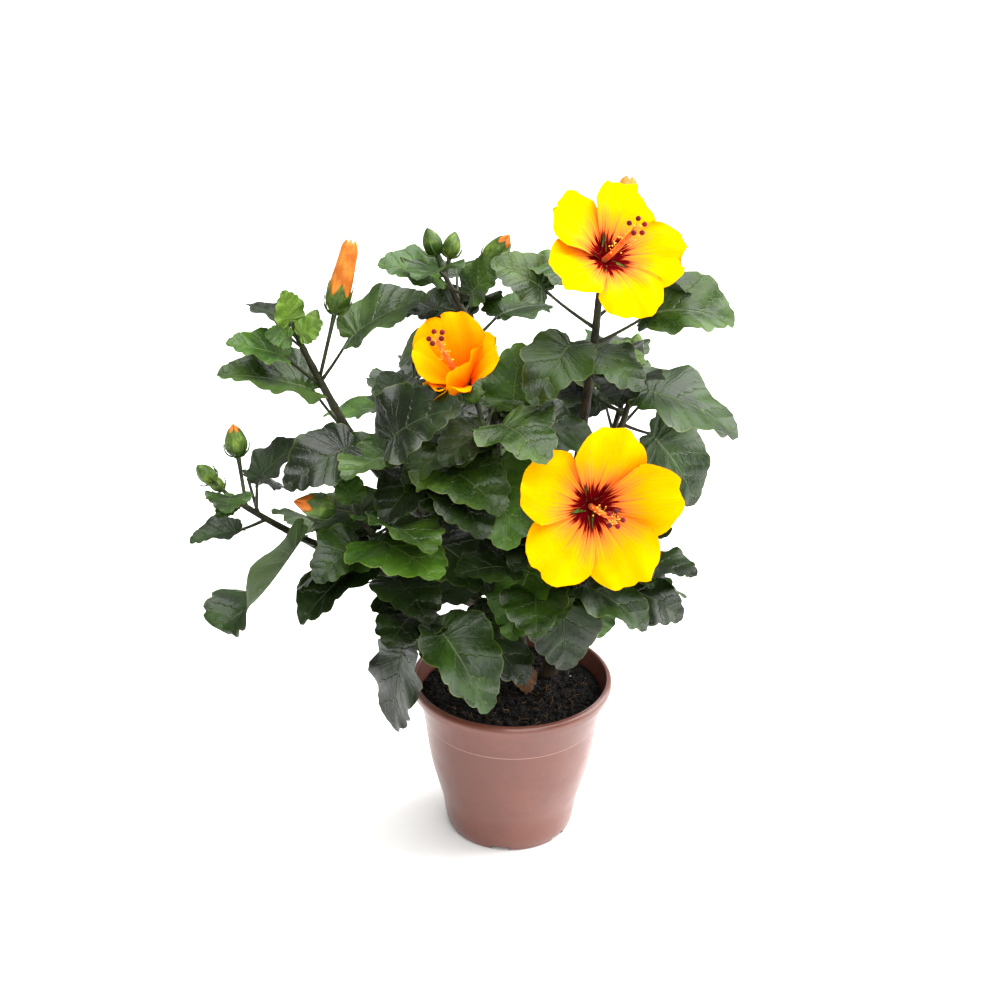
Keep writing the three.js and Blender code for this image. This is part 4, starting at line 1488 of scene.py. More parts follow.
@dataclass
class Limbs:
    """The stems and boughs, in bark that is ridged and knuckled. Two boughs in three are still green."""

    plan: Plan
    stem_sides: int = 20
    stem_steps: int = 44
    bough_sides: int = 14
    bough_steps: int = 34
    bough_flare: float = 0.8
    ridge: float = 0.22
    knuckle: float = 0.9
    knuckle_gap: float = 16.0

    def relief(self, chance: Seeded, length: float) -> Relief:
        """A limb's bark relief.

        Args:
            chance: its run of numbers.
            length: the limb's length.

        Returns:
            How far its skin stands out, from a share of its length and the angles round it.
        """
        first, second, third = (chance.between(0, 6.28) for _ in range(3))
        knots = [chance.next() for _ in range(max(2, int(length / self.knuckle_gap)))]

        def skin(share: float, angles: np.ndarray) -> np.ndarray:
            """How far the skin stands out.

            Args:
                share: how far along the limb.
                angles: the angles round it.

            Returns:
                The height at each angle.
            """
            lengthwise = np.sin(3 * angles + first + 5 * share) + 0.6 * np.sin(7 * angles + second - 9 * share)
            cross = 0.4 * math.sin(length * share * 0.9 + third)
            knot = sum(math.exp(-((share - k) * length / 2.2) ** 2) for k in knots)
            return self.ridge * (lengthwise + cross) + self.knuckle * 0.5 * knot

        return skin

    def build(self) -> None:
        """Makes one piece of the stems and one of the boughs."""
        finishes = [Bark.WOODY, Bark.GREEN]
        stock = MeshStock()
        for name, spec in STEMS.items():
            path = self.plan.paths[name]
            tube(stock, path,
                 lambda share, spec=spec: mix(*spec.radii, share) + spec.flare * math.exp(-share * 9),
                 self.stem_sides, self.stem_steps, 0, self.relief(Seeded(len(name) * 31), path.length))
        place(stock.build("stems", finishes), "bark", *STEMS)
        stock = MeshStock()
        for index, (name, spec) in enumerate(BOUGHS.items()):
            path = self.plan.paths[name]
            tube(stock, path,
                 lambda share, spec=spec: mix(*spec.radii, share) + self.bough_flare * math.exp(-share * 14),
                 self.bough_sides, self.bough_steps, min(1, index % 3),
                 self.relief(Seeded(index + 5), path.length))
        place(stock.build("boughs", finishes), "bark", *BOUGHS)


# ---------------- foliage


@dataclass(frozen=True)
class TwigRule:
    """What the finer twigs and their leaves are drawn from."""

    along: Range = (0.35, 0.95)
    step: float = 137.5
    turn_spread: float = 30.0
    rise: Range = (15, 50)
    length: Range = (14, 26)
    bow: float = 1.5
    radii: Range = (1.5, 1.0)
    leaves: int = 3
    first_leaf: float = 0.45
    fan: float = 105.0
    fan_spread: float = 20.0
    leaf_length: Range = (24, 40)
    leaf_lift: Range = (10, 40)
    leaf_stalk: float = 0.4
    leaf_rise: Range = (-22, 18)
    leaf_roll: float = 18.0
    leaf_bend: Range = (20, 44)
    # Twig leaves take the dark or mid green, both deepened as painted shade inside the crown.
    dark_share: float = 0.6

    def leaf(self, index: int, turn: float, chance: Seeded) -> Leaf:
        """One leaf of a twig.

        Args:
            index: which leaf, from the twig's foot.
            turn: the twig's turn.
            chance: its run of numbers.

        Returns:
            The leaf.
        """
        length, middle = chance.between(*self.leaf_length), (self.leaves - 1) / 2
        return Leaf(
            mix(self.first_leaf, 1.0, index / (self.leaves - 1)),
            turn + (index - middle) * self.fan + chance.spread(self.fan_spread),
            chance.between(*self.leaf_lift), length * self.leaf_stalk, chance.between(*self.leaf_rise), length,
            roll=chance.spread(self.leaf_roll), bend=chance.between(*self.leaf_bend),
            lobes=1.0 if index == middle else 0.0,
            tone=Tone.DARK if chance.next() < self.dark_share else Tone.MID)


@dataclass
class Foliage:
    """Every mass: its shoot, the leaves and buds on it, and the finer twigs that fill it out."""

    plan: Plan
    rule: TwigRule = TwigRule()
    near: float = 1.5
    step: float = 144.0
    turn_spread: float = 20.0
    low: float = 0.08
    high: float = 0.95
    lift: float = 34.0
    lift_spread: float = 12.0
    stalk: float = 0.45
    stalk_spread: float = 0.1
    low_rise: float = -18.0
    high_rise: float = 26.0
    rise_spread: float = 9.0
    shrink: float = 0.28
    size_spread: float = 0.1
    bend: float = 34.0
    bend_spread: float = 12.0
    roll: float = 14.0
    bloom_clearance: float = 9.0
    bloom_back: float = -24.0
    bloom_depth: float = 95.0
    floor: float = 118.0

    def spiral(self, spec: Spiral) -> list[Leaf]:
        """The leaves that stand round a shoot, from its foot to its tip.

        Args:
            spec: the shoot's spiral.

        Returns:
            The leaves.
        """
        chance, found = Seeded(spec.seed), []
        for i in range(spec.count):
            up = i / (spec.count - 1) if spec.count > 1 else 0.5
            length = spec.size * (1 - self.shrink * up) * (1 + chance.spread(self.size_spread))
            found.append(Leaf(
                mix(self.low, self.high, up), spec.start + self.step * i + chance.spread(self.turn_spread),
                self.lift + chance.spread(self.lift_spread),
                length * (self.stalk + chance.spread(self.stalk_spread)),
                mix(self.low_rise, self.high_rise, up) + chance.spread(self.rise_spread), length,
                roll=chance.spread(self.roll), bend=self.bend + chance.spread(self.bend_spread),
                lobes=1.0 if chance.next() > 0.6 else 0.0))
        return found

    def clear_of_blooms(self, points: Iterable[Point]) -> bool:
        """Whether points keep out of the blooms and of the air in front of them.

        Args:
            points: what to test.

        Returns:
            True where all are clear.
        """
        for bloom in BLOOMS.values():
            axis = bearing(bloom.turn, bloom.rise)
            for point in points:
                off = point - np.array(bloom.centre)
                along = float(np.dot(off, axis))
                aside = np.linalg.norm(off - axis * along)
                if self.bloom_back < along < self.bloom_depth and aside < bloom.radius + self.bloom_clearance:
                    return False
        return True

    def fine_twigs(self, name: str, spec: MassSpec, low: Point,
                   high: Point) -> list[tuple[Path, list[LeafShape]]]:
        """Finer twigs along a mass's bough and shoot, and the leaves that they carry.

        Args:
            name: the mass.
            spec: its sizes.
            low: the lowest corner that its leaves may reach.
            high: the highest corner.

        Returns:
            Each twig's path and its leaves.
        """
        chance, rule, found = Seeded(spec.spiral.seed * 7 + 3), self.rule, []
        for i in range(spec.twigs):
            carrier = self.plan.paths[bough_of(name) if i % 3 else name]
            start = carrier.point(chance.between(*rule.along))
            turn = spec.spiral.start + rule.step * i + chance.spread(rule.turn_spread)
            ahead = bearing(turn, chance.between(*rule.rise))
            tip = start + ahead * chance.between(*rule.length)
            path = limb_path(start, tip, rule.bow)
            kept = []
            for k in range(rule.leaves):
                leaf = rule.leaf(k, turn, chance)
                shape = LeafShape(leaf, path.point(leaf.along))
                inside = all(np.all(p > low) and np.all(p < high) for p in (shape.foot, shape.tip))
                middle = (shape.foot + shape.tip) / 2
                if inside and self.clear_of_blooms((tip, shape.foot, middle, shape.tip)):
                    kept.append(shape)
            if kept:
                found.append((path, kept))
        return found

    def build_mass(self, name: str, spec: MassSpec) -> None:
        """Makes a mass's pieces: its shoot and twigs, its leaves, and its buds.

        Args:
            name: the mass.
            spec: its sizes.
        """
        path = self.plan.paths[name]
        corners = self.plan.corners(name)
        low, high = (np.array(corner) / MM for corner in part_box(name))
        low[2] = max(low[2], self.floor)
        chance = Seeded(spec.spiral.seed + 1000)
        blades, twigs, green, furled = (MeshStock() for _ in range(4))
        tube(twigs, path, lambda share: mix(*spec.radii, share) + 0.35 * math.exp(-share * 12), 10, 20, 0,
             Limbs(self.plan, ridge=0.1, knuckle=0.7).relief(chance, path.length))
        spiral = [leaf for i, leaf in enumerate(self.spiral(spec.spiral)) if i not in spec.fallen]
        for leaf in [*spec.leaves, *spiral]:
            shape = LeafShape(leaf, path.point(leaf.along))
            if corners.find(shape.tip)[2] <= self.near:
                shape.build(blades, twigs, chance)
        for twig, shapes in self.fine_twigs(name, spec, low, high):
            tube(twigs, twig, lambda share: mix(*self.rule.radii, share), 6, 5, 0)
            for shape in shapes:
                shape.build(blades, twigs, chance)
        for bud in spec.buds:
            start = path.point(bud.along)
            tip = start + bearing(bud.turn, bud.lift) * (bud.stalk + bud.length)
            if corners.find(tip)[2] < self.near:
                BudShape(bud, start, chance).build(green, furled, twigs)
        short = name.removeprefix("foliage_")
        place(blades.build(f"leaves_{short}", Tone), "leaf", name)
        place(twigs.build(f"twigs_{short}", [Bark.GREEN, Bark.STALK]), "bark", name)
        if green.count:
            place(green.build(f"buds_{short}", [Flesh.BUD]), "leaf", name)
        if furled.count:
            place(furled.build(f"furled_petals_{short}", [Flesh.FURLED]), "orange_petal", name)

    def build(self) -> None:
        """Makes every mass."""
        for name, spec in MASSES.items():
            self.build_mass(name, spec)


# ---------------- things scattered by a rule


class Bit(Enum):
    """The small shapes that can be scattered."""

    GRAIN = "grain"
    THREAD = "thread"


@dataclass(frozen=True)
class Scatter:
    """A Geometry Nodes tree that scatters small shapes over a surface, turned and sized at random."""

    name: str
    count: float
    seed: int
    size: float
    least: float
    bit: Bit
    upright: bool = False
    length: float = 0.0
    lean: float = 0.3
    spin: float = 3.1
    sag: float = 0.22

    def thread(self, sheet: NodeSheet, at: Sequence[Socket]) -> Socket:
        """Adds the nodes of a bent thread.

        Args:
            sheet: the tree.
            at: the tree's inputs.

        Returns:
            The thread's mesh.
        """
        line = sheet.add("GeometryNodeCurvePrimitiveLine", {"End": (0.0, 0.0, 1.0)}, mode="POINTS")
        line = sheet.add("GeometryNodeResampleCurve", {"Curve": line.outputs[0], "Count": 5})
        height = sheet.parts(sheet.add("GeometryNodeInputPosition").outputs[0])[2]
        bow = sheet.times(sheet.math("SINE", sheet.times(height, math.pi)), self.sag)
        spot = sheet.add("ShaderNodeCombineXYZ", {0: sheet.times(bow, at["Length"]),
                                                  2: sheet.times(height, at["Length"])})
        line = sheet.add("GeometryNodeSetPosition", {"Geometry": line.outputs[0], "Position": spot.outputs[0]})
        ring = sheet.add("GeometryNodeCurvePrimitiveCircle", {"Resolution": 4, "Radius": at["Size"]},
                         mode="RADIUS")
        ends = {"Curve": line.outputs[0], "Profile Curve": ring.outputs[0], "Fill Caps": True}
        return sheet.add("GeometryNodeCurveToMesh", ends).outputs[0]

    def tree(self, material: bpy.types.Material) -> NodeTree:
        """Builds the tree.

        Args:
            material: what the shapes are made of.

        Returns:
            The tree.
        """
        group = bpy.data.node_groups.new(self.name, "GeometryNodeTree")
        group.interface.new_socket("Geometry", in_out="INPUT", socket_type="NodeSocketGeometry")
        for label in ("Density", "Size", "Least share", "Length"):
            group.interface.new_socket(label, in_out="INPUT", socket_type=NUMBER)
        group.interface.new_socket("Seed", in_out="INPUT", socket_type="NodeSocketInt")
        group.interface.new_socket("Geometry", in_out="OUTPUT", socket_type="NodeSocketGeometry")
        sheet = NodeSheet(group)
        at = sheet.add("NodeGroupInput").outputs
        points = sheet.add("GeometryNodeDistributePointsOnFaces",
                           {"Mesh": at["Geometry"], "Density": at["Density"], "Seed": at["Seed"]}).outputs
        if self.bit is Bit.THREAD:
            shape = self.thread(sheet, at)
        else:
            ball = sheet.add("GeometryNodeMeshIcoSphere", {"Radius": at["Size"], "Subdivisions": 1})
            shape = ball.outputs[0]
        least = sheet.add("ShaderNodeCombineXYZ", dict.fromkeys(range(3), at["Least share"])).outputs[0]
        size = sheet.random(least, (1.0, 1.0, 1.0), at["Seed"])
        facing = {"Rotation": points["Rotation"]} if self.upright else {}
        copies = sheet.add("GeometryNodeInstanceOnPoints",
                           {"Points": points["Points"], "Instance": shape, "Scale": size, **facing})
        lean = self.lean if self.upright else self.spin
        turn = sheet.random((-lean, -lean, -self.spin), (lean, lean, self.spin), at["Seed"])
        copies = sheet.add("GeometryNodeRotateInstances",
                           {"Instances": copies.outputs[0], "Rotation": turn, "Local Space": True})
        real = sheet.add("GeometryNodeRealizeInstances", {"Geometry": copies.outputs[0]})
        dressed = sheet.add("GeometryNodeSetMaterial", {"Geometry": real.outputs[0], "Material": material})
        sheet.add("NodeGroupOutput", {0: dressed.outputs[0]})
        return group

    def over(self, ground: Object, finish: object) -> Object:
        """Scatters the shapes over an object and makes them a plain mesh.

        Args:
            ground: the surface.
            finish: what the shapes are made of.

        Returns:
            The scattered piece.
        """
        tree = self.tree(finish_of(finish))
        modifier = ground.modifiers.new(self.name, "NODES")
        modifier.node_group = tree
        area = sum(face.area for face in ground.data.polygons)
        values = {"Density": self.count / area, "Size": self.size * MM, "Least share": self.least,
                  "Length": self.length * MM, "Seed": self.seed}
        for item in tree.interface.items_tree:
            if item.in_out == "INPUT" and item.name in values:
                modifier[item.identifier] = values[item.name]
        ground.update_tag()
        bpy.context.view_layer.update()
        mesh = evaluated(ground)
        ground.modifiers.remove(modifier)
        mesh.name = self.name
        piece = bpy.data.objects.new(self.name, mesh)
        bpy.context.scene.collection.objects.link(piece)
        return piece


def evaluated(piece: Object) -> Mesh:
    """A new mesh of an object with its modifiers carried out."""
    graph = bpy.context.evaluated_depsgraph_get()
    return bpy.data.meshes.new_from_object(piece.evaluated_get(graph), depsgraph=graph)


# ---------------- blooms


@dataclass
class Bloom:
    """One bloom: five ruffled petals, the green star behind them, the column with its anthers, and the stalk.

    Where a petal is broadest, its least width and its notch are shares of its length.
    """

    name: str
    spec: BloomSpec
    plan: Plan
    petals: int = 5
    broadest: float = 0.61
    tilt: float = 9.0
    rows: int = 24
    columns: int = 22
    least_width: float = 0.035
    notch: float = 0.03
    dish: float = 2.2
    ruffle: float = 2.4
    pleat: float = 0.45
    stalk_radii: Range = (1.7, 1.5)
    calyx_radius: float = 6.5
    calyx_length: float = 14.0
    column_radii: Range = (1.9, 1.2)
    pad_radius: float = 1.65
    pad_spread: float = 4.8
    anthers: float = 22.0
    sepal_reach: float = 0.38
    sepal_half: float = 3.0
    sepal_drop: float = 1.0
    sepal_grid: tuple[int, int] = (9, 7)
    bracts: int = 7
    pads: int = 5
    sleeve_start: float = 0.4
    sleeve_radius: float = 1.3
    filament: float = 3.4

    def __post_init__(self) -> None:
        """Works out the bloom's axis, its throat and how long a petal is."""
        spec = self.spec
        self.axis = bearing(spec.turn, spec.rise)
        low, high = (math.radians(angle) for angle in spec.open)
        self.petal_length = spec.radius * (high - low) / (math.cos(low) - math.cos(high))
        curve = self.petal_length / (high - low)
        depth = curve * (math.sin(min(high, math.radians(80))) - math.sin(low))
        self.throat = np.array(spec.centre, float) - self.axis * depth
        turn = math.radians(spec.turn)
        self.right = np.array([-math.sin(turn), math.cos(turn), 0.0])
        self.chance = Seeded(int(spec.radius * 13 + spec.turn))

    def outward(self, step: float) -> Point:
        """The direction out from the axis at a step round the bloom, where five steps are a turn."""
        return turned(self.right, self.axis, self.spec.spin + step * 360 / self.petals)

    def petal(self, stock: MeshStock, index: int) -> None:
        """Adds one petal: it leaves the throat along the axis, spreads, and its ruffled end turns back.

        Args:
            stock: where it goes.
            index: which petal.
        """
        chance, spec = self.chance, self.spec
        more, breadth, size = spec.shapes[index] if spec.shapes else (0, 1, 1)
        low = math.radians(spec.open[0] + chance.spread(2))
        high = math.radians(spec.open[1] + more + chance.spread(7))
        curve = self.petal_length * size * (1 + chance.spread(0.03)) / (high - low)
        outward = turned(self.outward(index), self.axis, chance.spread(4))
        around = np.cross(self.axis, outward)
        along = np.linspace(0, 1, self.rows + 1)[:, None]
        across = np.sin(np.linspace(-1, 1, self.columns + 1) * math.pi / 2)[None, :]
        phases = [chance.between(0, 6.28) for _ in range(4)]
        end = self.broadest + (1 - self.broadest) * (1 - np.abs(across) ** 2.1).clip(0) ** 0.5
        fringe = 1 - across ** 6
        end = end + fringe * (0.014 * np.sin(7 * across + phases[0]) + 0.009 * np.sin(15 * across + phases[1]))
        x = along * (end - self.notch * np.exp(-(across / 0.16) ** 2))
        y = np.clip(x / self.broadest, self.least_width, 1) * across * spec.width * self.petal_length * breadth
        lean = low + (high - low) * x
        out = curve * (math.cos(low) - np.cos(lean))
        up = curve * (np.sin(lean) - math.sin(low))
        tangent = np.sin(lean)[..., None] * outward + np.cos(lean)[..., None] * self.axis
        face = np.sin(lean)[..., None] * self.axis - np.cos(lean)[..., None] * outward
        tilt = math.radians(self.tilt)
        side = around * math.cos(tilt) + np.cross(tangent, around) * math.sin(tilt)
        face = face * math.cos(tilt) + np.cross(tangent, face) * math.sin(tilt)
        waves = np.sin(6.5 * across + phases[2]) + 0.5 * np.sin(13 * across + phases[3])
        rise = self.ruffle * x ** 3 * waves + self.ruffle * 0.9 * across ** 2 * np.sin(10 * x + phases[0]) * x
        rise = rise - self.dish * (1 - across ** 2) * np.sin(math.pi * x)
        rise = rise + self.pleat * np.sin(11 * across + phases[1] + 2 * x) * np.sin(math.pi * x) ** 0.7
        points = (self.throat + out[..., None] * outward + up[..., None] * self.axis - side * y[..., None]
                  + face * rise[..., None])
        uvs = np.stack(np.broadcast_arrays((across + 1) / 2, x), -1)
        stock.grid(points[:, ::-1], uvs[:, ::-1], 0)

    def sepal(self, stock: MeshStock, step: float) -> None:
        """Adds one pointed lobe of the calyx, which shows between two petals.

        Args:
            stock: where it goes.
            step: its place round the bloom.
        """
        outward = self.outward(step)
        around = np.cross(self.axis, outward)
        along = np.linspace(0, 1, self.sepal_grid[0])[:, None]
        across = np.linspace(-1, 1, self.sepal_grid[1])[None, :]
        low, high = (math.radians(angle) for angle in self.spec.open)
        curve = self.petal_length / (high - low)
        lean = low + (high - low) * self.sepal_reach * along
        out = curve * (math.cos(low) - np.cos(lean)) + 0.5
        up = curve * (np.sin(lean) - math.sin(low)) - self.sepal_drop
        half = self.sepal_half * np.minimum(1, along * 5 + 0.4) * (1 - along) ** 0.8
        cup = 0.9 * across ** 2
        points = (self.throat + (out - cup)[..., None] * outward + up[..., None] * self.axis
                  + (half * across)[..., None] * around)
        uvs = np.stack(np.broadcast_arrays((across + 1) / 2, along), -1)
        stock.grid(points, uvs, 0)

    def green_parts(self, green: MeshStock, twigs: MeshStock) -> None:
        """Adds the calyx, its bracts and the bloom's stalk.

        Args:
            green: where the calyx and bracts go.
            twigs: where the stalk goes.
        """
        shoot = self.plan.paths[self.spec.mass]
        foot, calyx_foot = shoot.point(1), self.throat - self.axis * self.calyx_length * 0.6
        reach = float(np.linalg.norm(calyx_foot - foot)) / 3
        stalk = Path(foot, foot + shoot.tangent(1) * reach, calyx_foot - self.axis * reach,
                     self.throat - self.axis * 6)
        tube(twigs, stalk, lambda share: mix(*self.stalk_radii, share) + 0.9 * max(0.0, share - 0.85) * 6,
             10, 20, 1)
        cup = Path(calyx_foot, self.throat - self.axis * 0.6)
        tube(green, cup, lambda share: (0.5 + 0.35 * math.sin(share * math.pi * 0.8)) * self.calyx_radius,
             20, 8)
        for index in range(self.petals):
            self.sepal(green, index + 0.5)
        for index in range(self.bracts):
            out = self.outward(index * self.petals / self.bracts)
            base = calyx_foot + self.axis
            tip = base + out * (self.calyx_radius + 4) + self.axis * self.chance.between(5, 11)
            path = Path(base, base + out * (self.calyx_radius + 1.5), tip)
            tube(green, path, lambda share: 0.6 * (1 - share) ** 0.7 + 0.12, 4, 6)

    def column(self, stock: MeshStock) -> Path:
        """Adds the column, its five threads and their pads.

        Args:
            stock: where they go.

        Returns:
            The column's path.
        """
        tip = self.throat + self.axis * self.spec.column
        sag = np.cross(self.axis, self.right) * 1.5
        path = Path(self.throat - self.axis, (self.throat + tip) / 2 - sag, tip)
        tube(stock, path, lambda share: mix(*self.column_radii, share), 12, 20, 0,
             lambda share, angles: 0.12 * np.sin(5 * angles + 3 * share))
        for index in range(self.pads):
            out = turned(self.right, self.axis, index * 360 / self.pads + self.chance.spread(12))
            end = tip + out * self.pad_spread + self.axis * self.chance.between(1.5, 3.5)
            thread = Path(tip - self.axis, tip + self.axis * 1.5 + out * 0.8, end)
            tube(stock, thread, lambda share: 0.42 - 0.1 * share, 6, 7, 1)
            pad = Path(end - self.axis * self.pad_radius, end + self.axis * self.pad_radius)
            tube(stock, pad, lambda share: self.pad_radius * math.sqrt(max(0.02, 1 - (2 * share - 1) ** 2)),
                 10, 7, 2)
        return path

    def swell(self, mesh: Mesh, path: Path) -> None:
        """Moves a sleeve's points out from the column to where the filaments end.

        Args:
            mesh: the sleeve.
            path: the column's middle line.
        """
        line = np.array([path.point(share) for share in np.linspace(self.sleeve_start, 1, 40)]) * MM
        for vertex in mesh.vertices:
            spot = np.array(vertex.co)
            near = line[np.argmin(np.linalg.norm(line - spot, axis=1))]
            vertex.co = Vector(spot + unit(spot - near) * self.filament * MM)

    def build(self) -> None:
        """Makes the bloom's pieces."""
        petals, green, twigs, column, sleeve = (MeshStock() for _ in range(5))
        for index in range(self.petals):
            self.petal(petals, index)
        self.green_parts(green, twigs)
        path = self.column(column)
        short = self.name.removeprefix("bloom_")
        slot = "orange_petal" if self.spec.petal is Petal.ORANGE else "yellow_petal"
        place(petals.build(f"petals_{short}", [self.spec.petal]), slot, self.name)
        place(green.build(f"calyx_{short}", [Flesh.CALYX]), "leaf", self.name)
        place(twigs.build(f"bloom_stalk_{short}", [Bark.GREEN, Bark.STALK]), "bark", self.name)
        finishes = [Flesh.COLUMN, Flesh.THREAD, Flesh.PAD]
        place(column.build(f"column_{short}", finishes), slot, self.name)
        tube(sleeve, path, lambda share: self.sleeve_radius, 8, 10, start=self.sleeve_start)
        ground = sleeve.build(f"sleeve_{short}", [Flesh.COLUMN])
        filaments = Scatter(f"filaments_{short}", self.anthers, 4, 0.13, 0.7, Bit.THREAD, True, self.filament)
        place(filaments.over(ground, Flesh.THREAD), slot, self.name)
        self.swell(ground.data, path)
        anthers = Scatter(f"anthers_{short}", self.anthers, 4, 0.62, 0.7, Bit.GRAIN)
        place(anthers.over(ground, Flesh.POLLEN), slot, self.name)
        bpy.data.objects.remove(ground)


# ---------------- pot and peat


@dataclass
class NurseryPot:
    """The moulded pot: a flared body with a waist ring, a rolled lip and drainage notches round its foot."""

    height: float = 110.0
    lip_radius: float = 65.5
    lip_height: float = 7.0
    mouth_radius: float = 61.3
    foot_radius: float = 40.4
    wall: float = 1.8
    floor: float = 4.4
    crease_height: float = 82.0
    crease_step: float = 0.5
    notches: int = 6
    notch_width: float = 12.0
    notch_height: float = 3.2
    notch_depth: float = 6.0
    first_notch: float = -98.0
    segments: int = 144
    crisp: float = 38.0
    body: Sequence = ((5, 42), (12, 43.2), (22, 44.8), (33, 47.8), (50, 52.2), (70, 55.4))

    def outside(self) -> list[tuple[float, float]]:
        """The outer wall's stations, each a height and a radius."""
        return [(0, self.foot_radius), *self.body, (self.crease_height, self.body[-1][1] + 1.2),
                (self.height, self.mouth_radius + self.wall)]

    def radius_at(self, height: float) -> float:
        """The outer wall's radius at a height."""
        return float(np.interp(height, *zip(*self.outside())))

    def inside(self) -> list[tuple[float, float]]:
        """The inner wall's stations, each a height and a radius."""
        return [(self.floor, self.radius_at(self.floor) - self.wall),
                *[(h, r - self.wall) for h, r in self.body[2:]], (self.height - 1.2, self.mouth_radius)]

    def profile(self) -> list[tuple[float, float]]:
        """The pot's section from the middle of its underside, over its lip, to the middle of its floor.

        Returns:
            Points, each a radius and a height.
        """
        foot, crease = self.foot_radius, self.crease_height
        points = [(0, 1.2), (foot - 6, 1.2), (foot - 4.5, 0), (foot - 1, 0), (foot - 0.1, 0.4),
                  (foot + 0.4, 1.4)]
        points += [(r, h) for h, r in smooth_line(self.outside()[1:-1], 26)]
        step = self.radius_at(crease) + self.crease_step
        points += [(step, crease + self.crease_step * 0.6), (step + 0.15, crease + 1.4),
                   (self.radius_at(crease + 5) + 0.2, crease + 5)]
        lip_foot, bend = self.height - self.lip_height, self.lip_height / 2
        points += [(self.radius_at(lip_foot - 4), lip_foot - 4), (self.radius_at(lip_foot), lip_foot - 0.5),
                   (self.lip_radius - 1.4, lip_foot - 0.2), (self.lip_radius - 0.5, lip_foot + 0.3)]
        for angle in np.radians(np.linspace(-20, 90, 12)):
            points.append((self.lip_radius - bend + bend * math.cos(angle),
                           self.height - bend + bend * math.sin(angle)))
        points += [(self.mouth_radius + 0.5, self.height - 0.3), (self.mouth_radius, self.height - 1.2)]
        return [*points, *[(r, h) for h, r in reversed(self.inside()[:-1])], (0, self.floor)]

    def build(self) -> None:
        """Makes the pot."""
        section = self.profile()
        angles = round_angles(self.segments)
        rings, uvs, run = [], [], 0.0
        for before, (radius, height) in zip(section, section[1:-1]):
            run += math.dist(before, (radius, height))
            rings.append(np.stack([radius * np.cos(angles), radius * np.sin(angles),
                                   np.full(self.segments, height)], 1))
            uvs.append(ring_uv(self.segments, run * MM))
        stock = MeshStock()
        stock.grid(np.array(rings), np.array(uvs), 0, ring=True)
        stock.fan(rings[0], np.array([0, 0, section[0][1]]), (0, 0), 0, flip=True)
        stock.fan(rings[-1], np.array([0, 0, section[-1][1]]), (0, 1), 0)
        piece = stock.build("nursery_pot", [PotFinish()])
        self.notch(piece)
        piece.data.shade_smooth()
        piece.data.set_sharp_from_angle(angle=math.radians(self.crisp))
        place(piece, "pot_plastic", "pot")

    def notch(self, piece: Object) -> None:
        """Cuts the drainage notches.

        Args:
            piece: the pot.
        """
        cutters = MeshStock()
        box = np.array([(x, y, z) for x in (-1, 1) for y in (-1, 1) for z in (-1, 1)], float)
        faces = np.array([(0, 1, 3, 2), (4, 6, 7, 5), (0, 4, 5, 1), (2, 3, 7, 6), (0, 2, 6, 4), (1, 5, 7, 3)])
        for i in range(self.notches):
            turn = self.first_notch + i * 360 / self.notches
            points = (np.outer(box[:, 0] * self.notch_depth + self.foot_radius, bearing(turn, 0))
                      + np.outer(box[:, 1] * self.notch_width / 2, bearing(turn + 90, 0))
                      + np.outer(box[:, 2] * self.notch_height, UP))
            cutters.add(points, faces, np.zeros((len(faces) * 4, 2)))
        cutter = cutters.build("notch_cutter", [PotFinish()], smooth=30)
        cut = piece.modifiers.new("notches", "BOOLEAN")
        cut.object, cut.operation, cut.solver = cutter, "DIFFERENCE", "EXACT"
        mesh = evaluated(piece)
        piece.modifiers.remove(cut)
        piece.data = mesh
        bpy.data.objects.remove(cutter)


